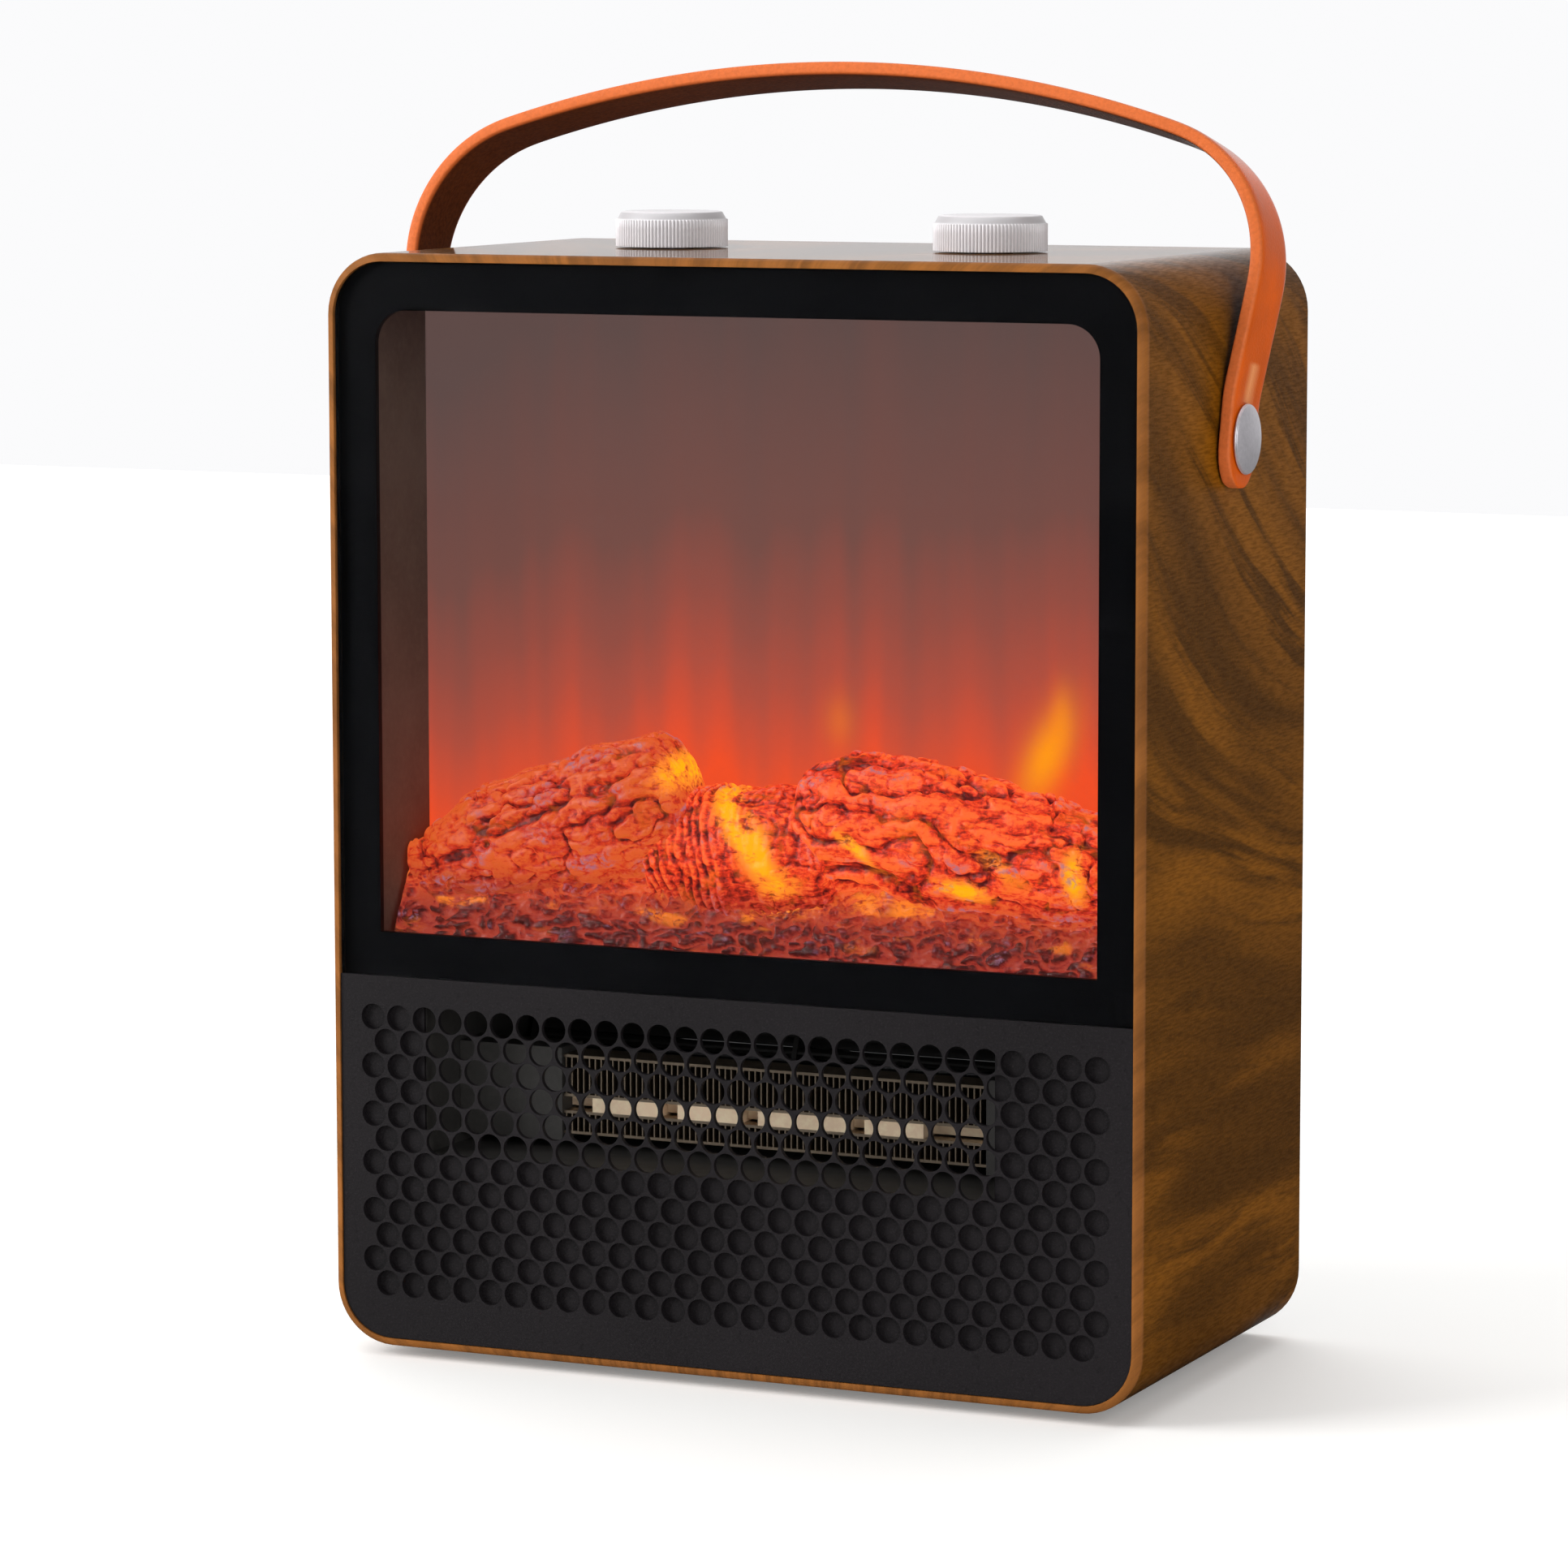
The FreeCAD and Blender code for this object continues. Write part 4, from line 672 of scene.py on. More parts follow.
def flame_light(fire):
    """Frosted screen with a glow that climbs into soft flames."""
    shade = Shade("flame_light")
    x, _, z = shade.axes()
    sway = shade.strands(x, z, (14.0, 9.0), 2.0)
    across = shade.math("MULTIPLY_ADD", sway, 0.35, shade.math("MULTIPLY", x, 54.0))
    streak = shade.noise(shade.vector(across, shade.math("MULTIPLY", z, 3.4)), 1.0, 2.0)
    lift = shade.span(streak, 0.25, 0.8, 0.011, -0.012)
    for place, reach, rise in PLUMES:
        away = shade.math("DIVIDE", shade.math("SUBTRACT", x, place), reach)
        bell = shade.bell(shade.math("MULTIPLY", away, away))
        lift = shade.math("MULTIPLY_ADD", bell, -rise, lift)
    lift = shade.math("ADD", lift, shade.span(x, -0.115, -0.045, 0.022, 0.0))
    level = shade.math("ADD", z, lift)
    glow = shade.ramp(
        shade.math("MULTIPLY_ADD", level, 1 / GLOW_REACH, -GLOW_FOOT / GLOW_REACH),
        (0.0, fire.screen_base),
        (0.10, shade_between(fire.screen_base, fire.screen_low, 0.5)),
        (0.22, fire.screen_low),
        (0.36, shade_between(fire.screen_low, fire.screen_middle, 0.55)),
        (0.55, fire.screen_middle),
        (1.0, fire.screen_top),
    )
    for place, height, reach, rise, slant, power in FLAMES:
        right = shade.math("SUBTRACT", x, place)
        up = shade.math("SUBTRACT", z, height)
        right = shade.math("DIVIDE", shade.math("MULTIPLY_ADD", up, -slant, right), reach)
        up = shade.math("DIVIDE", up, rise)
        bell = shade.bell(shade.math("MULTIPLY_ADD", right, right, shade.math("MULTIPLY", up, up)))
        glow = shade.mix(shade.math("MULTIPLY", bell, power), glow, fire.flame)
    frost = shade.noise(shade.place, 900.0, 2.0)
    return shade.finish(
        Base_Color=(0.004, 0.004, 0.004, 1),
        Specular_IOR_Level=0.05,
        Roughness=0.7,
        Normal=shade.bump(frost, 0.02),
        Emission_Color=glow,
        Emission_Strength=1.0,
    )


def lamp_epoxy(fire):
    """Faintly lit epoxy of the small lamps."""
    shade = Shade("lamp_epoxy")
    tint = shade.mix(shade.noise(shade.place, 300.0, 2.0), fire.lamp_dim, fire.lamp_bright)
    return shade.finish(Base_Color=tint, Roughness=0.25, Emission_Color=tint, Emission_Strength=0.6)


class HEATER_OT_firebox(bpy.types.Operator):
    """Firebox walls and the lit screen."""

    bl_idname = "heater.firebox"
    bl_label = "Firebox"
    bl_options = {"REGISTER", "UNDO"}

    def execute(self, context):
        """Paints the screen, the walls round it, the boards and the spindle that makes the flames."""
        fire = context.scene.heater_fire
        metals = context.scene.heater_metal
        paint("flame_screen", flame_light(fire))
        paint("firebox_liner", moulded("liner_plastic", fire.liner, 0.6, 0.04, 500.0))
        paint("ember_board flame_board control_board", moulded("circuit_board", fire.board, 0.45, 0.01))
        paint("ember_lamps flame_lamps", lamp_epoxy(fire))
        paint("flame_rotor", metal("mirror_vane", metals.mirror, 0.15))
        zinc = metal("zinc_sheet", metals.zinc, 0.4)
        paint("rotor_bracket_left rotor_bracket_right motor_bracket_inner motor_bracket_outer", zinc)
        paint("rotor_motor", metal("motor_can", metals.can, 0.35))
        return {"FINISHED"}


# ---------------------------------------------------------------- logs


# Height in millimetres from which the heights of the log bed below are measured.
BED_LEVEL = 163
# Closed section of the ember bank, as depth and height in millimetres.
BANK_SECTION = (
    *((-56.6, -45.2), (-56.8, -40), (-54.5, -34), (-51, -28), (-46.5, -20)),
    *((-41, -15), (-34, -16), (-29.5, -22), (-29, -45.2)),
)
# Half the bank's length, and the farthest forward any crumb of it may stand, in millimetres.
BANK_HALF, BANK_FRONT = 112.6, -57.9
# Points along the bank and round its section.
BANK_ROWS, BANK_COLUMNS = 430, 225
# Pitch of the rows along a log in millimetres, and points round it.
LOG_PITCH, LOG_COLUMNS = 0.4, 300
# A log's height over its depth, and the lengths over which log and bank ends are rounded.
LOG_TALL, LOG_END, BANK_END = 1.38, 3.5, 2.5


def resin(logs):
    """Resin lit from below, from the relief, warmth, painted ridge reflection, and dark embers with painted
    shade, stored on each point.
    """
    shade = Shade("ember_resin")
    relief, heat, ridge_reflection, coal_and_shade = (shade.given(label) for label in ("relief", "warmth", "ridge_reflection", "coal_and_shade"))
    fine = shade.noise(shade.place, 520.0, 4.0, 0.62, 0.4)
    mottle = shade.noise(shade.place, 130.0, 3.0, 0.55, 0.8)
    scratch = shade.noise(shade.stretch((240, 700, 700)), 1.0, 4.0, 0.6, 0.9)
    rise = shade.math("MULTIPLY_ADD", shade.math("SUBTRACT", fine, 0.49), 1.6, relief)
    rise = shade.math("MULTIPLY_ADD", shade.math("SUBTRACT", scratch, 0.49), 1.8, rise)
    glow = shade.ramp(
        rise,
        (0.0, logs.crevice),
        (0.32, shade_between(logs.crevice, logs.body, 0.4)),
        (0.62, logs.body),
        (1.0, logs.ridge),
    )
    glow = shade.mix(shade.span(mottle, 0.5, 0.72, 0.0, 0.45), glow, shade_between(logs.body, logs.hot, 0.3))
    _, _, z = shade.axes()
    low = shade.span(z, logs.bank_foot, logs.bank_top, 0.85, 0.0)
    glow = shade.mix(low, glow, shade.mix(shade.span(rise, 0.2, 0.9), scaled(logs.coal_and_shade, 0.7), logs.dusk))
    # Dark embers and painted shade, from the value stored on each point.
    glow = shade.mix(coal_and_shade, glow, logs.coal_and_shade)
    patchy = shade.span(shade.math("ADD", scratch, mottle), 0.7, 1.15, 0.15, 1.2)
    warm = shade.math("MULTIPLY", heat, patchy)
    glow = shade.mix(shade.span(warm, 0.05, 0.45), glow, shade_between(logs.ridge, logs.hot, 0.35))
    glow = shade.mix(shade.span(warm, 0.35, 0.95), glow, logs.hot)
    # Painted reflection on the ridge tops, mixed into the glow.
    dust = shade.math("MULTIPLY", ridge_reflection, shade.span(fine, 0.42, 0.62))
    return shade.finish(
        Base_Color=shade.mix(coal_and_shade, scaled(logs.body, 0.08), scaled(logs.coal_and_shade, 0.4)),
        Roughness=0.4,
        Normal=shade.bump(shade.math("MULTIPLY_ADD", fine, 0.6, mottle), 0.5),
        Specular_IOR_Level=0.2,
        Emission_Color=shade.mix(dust, glow, logs.ridge_reflection),
        Emission_Strength=logs.glow,
    )


def spots(x, z, places):
    """Soft spots of heat.

    Each is a Gaussian, with its place along X and height over the bed's level, two reaches in
    millimetres, its slant and its strength.
    """
    total = np.zeros(x.shape)
    for spot_x, spot_z, reach_along, reach_across, slant, strength in places:
        right = x / MM - spot_x
        up = z / MM - BED_LEVEL - spot_z
        along = right * math.cos(slant) + up * math.sin(slant)
        across = -right * math.sin(slant) + up * math.cos(slant)
        total += strength * np.exp(-((along / reach_along) ** 2) - (across / reach_across) ** 2)
    return np.clip(total, 0, 1)


def cracks(points, pitch, seed, reach, warp=0.0):
    """Winding lines, 1 in their middle, where value noise of a pitch on each axis passes zero."""
    return np.exp(-((lattice(points / pitch + warp, seed) / reach) ** 2))


# Each bark below takes points in the log's own frame, in millimetres, and turns round it. It gives
# the relief, from 0 in a furrow to 1 on a ridge, and how deep the furrows are in millimetres.


def plates(point, turn):
    """Long bark plates parted by thin winding furrows."""
    warp = fractal(point / 8, 31, 2)[..., None]
    furrow = cracks(point, (17, 3.9, 3.9), 32, 0.13, warp * 0.8)
    small = cracks(point, (6, 1.7, 1.7), 33, 0.2, warp * 1.2)
    return np.clip(1 - furrow * 0.8 - small * 0.4, 0, 1), 2.4


def rings(point, turn):
    """Tight ridges that run round the log, bow sideways, split and mostly fade half way along."""
    along = point[..., 0]
    bow = 3.0 * np.sin(turn + 0.6) + 2.6 * fractal(point / 9, 41, 2)
    wave = np.sin((along + bow) * (2 * math.pi / 2.9)) * (1 - 0.75 * step(along, 22, 33))
    split = cracks(point, (4.5, 3.4, 3.4), 42, 0.16)
    return np.clip(0.66 + 0.3 * wave - 0.4 * split, 0, 1), 1.4


def swirl(point, turn):
    """Split wood with soft grain lines and a few deep winding cracks."""
    warp = fractal(point / 14, 51, 3)
    lines = np.sin(turn * 13 + warp * 7 + point[..., 0] * 0.05)
    crack = cracks(point, (20, 5.6, 5.6), 52, 0.09, warp[..., None] * 1.3)
    chips = cracks(point, (7, 2.2, 2.2), 53, 0.12, warp[..., None])
    return np.clip(0.78 + 0.2 * lines - crack * 0.7 - chips * 0.4, 0, 1), 2.0


# Logs: label, both ends as X, Y and height over the bed's level, radii as share along and radius,
# bark, spots of heat, seed and how far the log's whole glow is dimmed toward the dark ember colour,
# which is painted shade. All lengths are in millimetres.
LOGS = (
    (
        "log_left",
        ((-112, -43, -21), (-20, -42, 5.5)),
        ((0, 5), (0.3, 11.5), (0.7, 14.6), (0.93, 14), (1, 10.5)),
        plates,
        ((-20.5, 14.0, 5.0, 7.5, -0.9, 1.0),),
        11,
        0.3,
    ),
    (
        "log_middle",
        ((-34, -41.5, -10), (27, -41.5, -10.5)),
        ((0, 12), (0.4, 14.4), (0.7, 13.8), (1, 12)),
        rings,
        (
            (-4.5, 1.0, 3.6, 13.0, 0.55, 1.0),
            (5.0, -8.0, 4.0, 9.0, 0.35, 0.9),
            (12.0, -18.0, 6.0, 5.0, 0.3, 0.5),
        ),
        12,
        0.0,
    ),
    (
        "log_right",
        ((13, -43, 2.5), (113, -42, -11)),
        ((0, 8.5), (0.13, 14), (0.4, 14.8), (0.8, 12.6), (1, 10.5)),
        swirl,
        (
            (34.9, -5.0, 8.0, 2.0, -0.7, 0.8),
            (67.3, -16.3, 7.5, 2.6, -0.15, 1.0),
            (79.0, -9.0, 11.0, 3.4, -0.6, 0.35),
            (101.6, -10.8, 3.2, 7.5, 0.0, 0.85),
        ),
        13,
        0.0,
    ),
)
EMBER_HEAT = ((10.0, -24.0, 12, 4, 0, 0.5),)


def lay_log(material, label, ends, radii, bark, heat, seed, glow_dimming):
    """Log between two points, taller than it is deep, its radius cut by its own bark."""
    start, finish = (np.array(ends) + (0, 0, BED_LEVEL)) * MM
    along = finish - start
    reach = np.linalg.norm(along)
    axis = along / reach
    out = np.cross(axis, (0, 0, 1))
    out /= np.linalg.norm(out)
    up = np.cross(out, axis)
    share = np.linspace(0, 1, int(reach / (LOG_PITCH * MM)))[:, None]
    turn = np.linspace(0, 2 * math.pi, LOG_COLUMNS, endpoint=False)[None, :]
    cosine, sine = np.cos(turn), np.sin(turn)
    radius = np.interp(share, *np.array(radii).T) * MM
    near_end = np.minimum(share, 1 - share) * reach / (LOG_END * MM)
    end_round = np.sqrt(1 - np.clip(1 - near_end, 0, 1) ** 2)
    point = np.stack([share * reach + 0 * turn, radius * cosine, radius * sine], axis=-1) / MM
    relief, depth = bark(point, turn)
    lumps = fractal(point / 15, seed, 2)
    full = (radius + (lumps * 1.8 + (relief - 0.7) * depth) * MM) * (0.3 + 0.7 * end_round)
    middle = start + share[..., None] * along
    grid = middle + full[..., None] * (cosine[..., None] * out + LOG_TALL * sine[..., None] * up)
    # Mask of the painted reflection: ridge tops, in patches.
    dust = step(fractal(point / (13, 4, 4), seed + 7, 3), 0.08, 0.4) * step(relief, 0.55, 0.95)
    attributes = {
        "relief": relief,
        "warmth": spots(grid[..., 0], grid[..., 2], heat),
        "ridge_reflection": dust * 0.8,
        # Painted shade: the whole log's glow dimmed by its own amount.
        "coal_and_shade": glow_dimming + 0 * relief,
    }
    return skin(label, grid, material, "case", attributes=attributes)


def bank_loop():
    """Points evenly round the bank's softened section, and the outward direction at each."""
    closed = np.array([*BANK_SECTION, BANK_SECTION[0]])
    marks = np.concatenate([[0], np.cumsum(np.linalg.norm(np.diff(closed, axis=0), axis=1))])
    places = np.linspace(0, marks[-1], BANK_COLUMNS, endpoint=False)
    kernel = np.hanning(9) / np.hanning(9).sum()
    sides = (np.pad(np.interp(places, marks, side), 4, mode="wrap") for side in closed.T)
    loop = np.stack([np.convolve(side, kernel, mode="valid") for side in sides], axis=-1)
    tangent = np.roll(loop, -1, axis=0) - np.roll(loop, 1, axis=0)
    normal = np.stack([-tangent[:, 1], tangent[:, 0]], axis=-1)
    normal /= np.linalg.norm(normal, axis=1)[:, None]
    if (normal * (loop - loop.mean(axis=0))).sum() < 0:
        normal = -normal
    return loop, normal


def lay_embers(material):
    """Ember bank: one closed section carried from wall to wall, its front broken into crumbs."""
    loop, normal = bank_loop()
    x = np.linspace(-BANK_HALF, BANK_HALF, BANK_ROWS)[:, None]
    flat = np.stack([x + 0 * loop[None, :, 0], loop[None, :, 0] + 0 * x, loop[None, :, 1] + 0 * x], axis=-1)
    exposed = step(loop[:, 1], -45, -41) * step(-loop[:, 0], 33, 40)
    warp = fractal(flat / 6, 61, 2)[..., None]
    cut = cracks(flat, (4.4, 2.8, 2.1), 62, 0.22, warp * 1.1)
    fine = cracks(flat, (2.3, 2, 1.4), 63, 0.25, warp)
    relief = np.clip(1 - cut * 0.9 - fine * 0.35, 0, 1)
    swell = fractal(flat / 11, 64, 2)
    proud = (relief - 0.8) * 2.2 + swell * 1.5
    at_end = np.clip((BANK_HALF - np.abs(x)) / BANK_END, 0, 1)
    moved = loop[None] + normal[None] * (proud * exposed * at_end)[..., None]
    middle = loop.mean(axis=0)
    moved = middle + (moved - middle) * (0.6 + 0.4 * np.sqrt(1 - (1 - at_end) ** 2))[..., None]
    grid = np.concatenate([flat[..., :1], moved], axis=-1) * MM
    grid[..., 2] += BED_LEVEL * MM
    grid[..., 1] = np.maximum(grid[..., 1], BANK_FRONT * MM)
    low = step(-(grid[..., 2] / MM - BED_LEVEL), 24, 40)
    fleck = step(lattice(flat / (7, 4, 3.5), 65), 0.25, 0.7)
    heat = fleck * (0.3 - 0.2 * low) + spots(grid[..., 0], grid[..., 2], EMBER_HEAT)
    attributes = {
        "relief": np.clip(1 - relief * (0.45 + 0.4 * low) + 0.25 * fleck, 0, 1),
        "warmth": np.clip(heat, 0, 1),
        # Painted reflection on the crumbs' ridge tops, in patches.
        "ridge_reflection": step(relief, 0.8, 1.0) * step(fractal(flat / (5, 3, 3), 66, 2), 0.15, 0.5) * 0.7,
        # Dark embers on the crumbs, with more painted shade lower in the bank.
        "coal_and_shade": step(relief, 0.35, 0.9) * (0.3 + 0.5 * low),
    }
    return skin("embers", grid, material, "case", attributes=attributes)


class HEATER_OT_logs(bpy.types.Operator):
    """Glowing logs and embers."""

    bl_idname = "heater.logs"
    bl_label = "Logs"
    bl_options = {"REGISTER", "UNDO"}

    def execute(self, context):
        """Lays three logs on a bank of embers, standing for the moulded bed."""
        material = resin(context.scene.heater_logs)
        left, *_ = [lay_log(material, *log) for log in LOGS]
        lay_embers(material)
        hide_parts("log_bed")
        return {"FINISHED"}


# ---------------------------------------------------------------- grille and knobs


class HEATER_OT_grille(bpy.types.Operator):
    """Dimpled grille."""

    bl_idname = "heater.grille"
    bl_label = "Grille"
    bl_options = {"REGISTER", "UNDO"}

    def execute(self, context):
        """Charcoal plastic with a fine spark-eroded grain."""
        base = context.scene.heater_plastic.charcoal
        shade = Shade("grille_plastic")
        grain = shade.noise(shade.place, 1500.0, 2.0, 0.7)
        coarse = shade.noise(shade.place, 380.0, 3.0, 0.6)
        broad = shade.noise(shade.place, 12.0, 2.0)
        tint = shade.mix(shade.span(broad, 0.3, 0.7), scaled(base, 0.85), scaled(base, 1.12))
        tint = shade.mix(shade.span(grain, 0.5, 0.78, 0.0, 0.5), tint, scaled(base, 2.4))
        tint = shade.mix(shade.span(coarse, 0.42, 0.3, 0.0, 0.5), tint, scaled(base, 0.5))
        material = shade.finish(
            Base_Color=tint,
            Roughness=shade.span(grain, 0.3, 0.7, 0.42, 0.58),
            Normal=shade.bump(shade.math("MULTIPLY_ADD", coarse, 0.7, grain), 0.06),
            Specular_IOR_Level=0.14,
        )
        paint("front_grille", material)
        return {"FINISHED"}


# Points across one ridge of the knurl.
RIDGE_POINTS = 8


def knob_silver(base):
    """Satin silver, with painted shade in the knurl's valleys and round the top, by values stored on each
    point.
    """
    shade = Shade("knob_silver")
    cloud = shade.noise(shade.place, 110.0, 3.0)
    turning = shade.noise(shade.stretch((300, 300, 4000)), 1.0, 2.0)
    tint = shade.mix(shade.span(cloud, 0.3, 0.7), scaled(base, 0.95), base)
    # Painted shade in the knurl's valleys.
    tint = shade.mix(shade.given("valley"), tint, scaled(base, 0.55))
    # Painted shade on the slope round the top.
    tint = shade.mix(shade.given("bevel_shade"), tint, scaled(base, 0.5))
    rough = shade.span(turning, 0.3, 0.7, 0.3, 0.36)
    # Barely metallic: the near-white colour stands in for silver reflecting bright surroundings, partly a
    # painted reflection.
    return shade.finish(Base_Color=tint, Metallic=0.05, Roughness=rough, Normal=shade.bump(turning, 0.001))


def knob_profile(valley, band, top):
    """Rows of radius, height and share of the knurl, from the foot to near the middle of the top."""
    foot = [(valley - 0.3 * MM, 0.0, 0)]
    heights = (0.0, 0.12 * MM, band * 0.35, band * 0.7, band - 0.12 * MM)
    knurl = [*((valley, height, 1) for height in heights), (valley, band, 0.4)]
    # How far the taper over the band has come in, at heights from the band to the top.
    taper = (
        (0.05, band + 0.12 * MM),
        (0.3, band + 0.5 * MM),
        (1.1, top - 0.35 * MM),
        (1.5, top - 0.1 * MM),
        (2.0, top),
    )
    cap = [(valley - inward * MM, height, 0) for inward, height in taper]
    flat = [(valley * share, top, 0) for share in (0.8, 0.5, 0.2)]
    return np.array(foot + knurl + cap + flat)


class HEATER_OT_knobs(bpy.types.Operator):
    """Knurled silver knobs."""

    bl_idname = "heater.knobs"
    bl_label = "Knobs"
    bl_options = {"REGISTER", "UNDO"}

    def execute(self, context):
        """Turned profile whose radius carries rounded ridges over the knurled band."""
        knobs = context.scene.heater_knobs
        material = knob_silver(context.scene.heater_metal.knob)
        turn = np.linspace(0, 2 * math.pi, knobs.teeth * RIDGE_POINTS, endpoint=False)
        ridge = np.clip(0.5 + 0.75 * np.cos(turn * knobs.teeth), 0, 1)
        for label, body in (("knob_left", "left_knob"), ("knob_right", "right_knob")):
            low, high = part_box(label)
            axis = (low + high) / 2
            top = high.z - low.z
            rows = knob_profile((high.x - low.x) / 2 - knobs.depth, knobs.band, top)
            radius, height, share = (rows[:, index : index + 1] for index in range(3))
            reach = radius + share * ridge * knobs.depth
            x = axis.x + reach * np.cos(turn)
            y = axis.y + reach * np.sin(turn)
            grid = np.stack([x, y, low.z + height + 0 * turn], axis=-1)
            # Painted shade round the top, between the knurled band and the flat.
            over_band = step(height, knobs.band, knobs.band + 0.2 * MM)
            under_top = step(-height, -top + 0.05 * MM, -top + 0.3 * MM)
            bevel_shade = over_band * under_top * 0.8 + 0 * turn
            # Painted shade: darker in the knurl's valleys and round the top.
            attributes = {"valley": share * (1 - ridge) * 0.7, "bevel_shade": bevel_shade}
            made = skin(label + "_turned", grid, material, body, attributes=attributes)
            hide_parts(label)
        return {"FINISHED"}


# ---------------------------------------------------------------- strap and rivets


# Points along half the strap, and points on each side over which its bends are softened.
STRAP_ROWS, STRAP_SOFT = 500, 14
# Points round the strap's section, and the power that squares it: 1 is an ellipse, 0 a rectangle.
STRAP_COLUMNS, STRAP_SQUARE = 72, 0.32
# Slit over the rivet: half width, length, soft stretch at its top and depth, in millimetres.
SLIT_HALF, SLIT_LONG, SLIT_SOFT, SLIT_DEEP = 0.45, 11, 1.5, 0.25
# Points round a rivet, up its dome and round its rim.
RIVET_COLUMNS, DOME_ROWS, RIM_ROWS = 96, 22, 8


def leather(strap):
    """Dyed leather, edge, flesh side and slit told apart by values on each point; edge and slit partly
    painted highlight.
    """
    shade = Shade("strap_leather")
    edge, back, slit_edge_and_highlight = (shade.given(label) for label in ("edge", "back", "slit_edge_and_highlight"))
    pore = shade.cells(shade.place, 1300.0)
    fine = shade.noise(shade.place, 800.0, 3.0, 0.6)
    broad = shade.noise(shade.place, 35.0, 4.0, 0.55)
    tint = shade.mix(shade.span(broad, 0.3, 0.7), scaled(strap.leather, 0.84), scaled(strap.leather, 1.12))
    tint = shade.mix(shade.span(pore, 0.05, 0.3, 0.35, 0.0), tint, scaled(strap.leather, 0.6))
    flesh = shade.mix(shade.span(fine, 0.3, 0.7), scaled(strap.inside, 0.75), scaled(strap.inside, 1.2))
    tint = shade.mix(back, tint, flesh)
    # Edge: burnished tone and painted highlight.
    polish_and_highlight = shade.mix(shade.span(fine, 0.35, 0.7, 0, 0.6), strap.burnish_and_highlight, scaled(strap.burnish_and_highlight, 0.8))
    tint = shade.mix(edge, tint, polish_and_highlight)
    # Slit: raw-cut tone and painted highlight.
    tint = shade.mix(slit_edge_and_highlight, tint, strap.slit)
    return shade.finish(
        Base_Color=tint,
        Roughness=shade.math("MULTIPLY_ADD", back, 0.25, shade.span(broad, 0.3, 0.7, 0.36, 0.5)),
        Normal=shade.bump(shade.math("MULTIPLY_ADD", fine, 0.5, pore), 0.05),
        Specular_IOR_Level=0.12,
        Coat_Weight=shade.grazing(0.7, 0.95, 0.7),
        Coat_Roughness=0.22,
    )


def strap_bends(strap):
    """Turn at the end of the top curve, turn of the straight arm below the shoulder, and its length.

    The arm's turn is found by halving a range until the arm meets the half width at the pad.
    """
    crown_turn = math.asin(strap.crown_half / strap.crown_radius)
    crown_drop = strap.crown_radius * (1 - math.cos(crown_turn))
    low_turn, high_turn = crown_turn, math.radians(120)
    for _ in range(60):
        arm_turn = (low_turn + high_turn) / 2
        elbow_x = strap.crown_half + strap.shoulder * (math.sin(arm_turn) - math.sin(crown_turn))
        elbow_z = strap.top - crown_drop - strap.shoulder * (math.cos(crown_turn) - math.cos(arm_turn))
        miss = elbow_x + (elbow_z - strap.pad) / math.tan(arm_turn) - strap.outer
        low_turn, high_turn = (arm_turn, high_turn) if miss > 0 else (low_turn, arm_turn)
    return crown_turn, arm_turn, math.hypot(strap.outer - elbow_x, strap.pad - elbow_z)


def strap_line(strap):
    """Middle of the leather from tail to tail: X, height over the rivets, turn, and pace of the points."""
    half_thick = strap.thick / 2
    crown_turn, arm_turn, arm = strap_bends(strap)
    crown = (strap.crown_radius - half_thick) * crown_turn
    shoulder = (strap.shoulder - half_thick) * (arm_turn - crown_turn)
    marks = np.cumsum([0, crown, shoulder, arm, strap.pad + strap.tail])
    distance = np.linspace(0, marks[-1], STRAP_ROWS)
    turns = np.interp(distance, marks[:3], [0, crown_turn, arm_turn])
    turns = np.where(distance > marks[3], math.pi / 2, turns)
    soft = np.pad(turns, STRAP_SOFT, mode="edge")
    soft[:STRAP_SOFT] = -turns[STRAP_SOFT:0:-1]
    kernel = np.hanning(2 * STRAP_SOFT + 1)
    turns = np.convolve(soft, kernel / kernel.sum(), mode="valid")
    pace = distance[1]
    between = (turns[:-1] + turns[1:]) / 2
    x = np.concatenate([[0], np.cumsum(np.cos(between) * pace)])
    z = np.concatenate([[0], np.cumsum(-np.sin(between) * pace)])
    x *= (strap.outer - half_thick) / x[-1]
    top = strap.top - half_thick
    z = top + z * (top + strap.tail) / -z[-1]
    x = np.concatenate([-x[:0:-1], x])
    z = np.concatenate([z[:0:-1], z])
    turns = np.concatenate([-turns[:0:-1], turns])
    return x, z, turns, pace


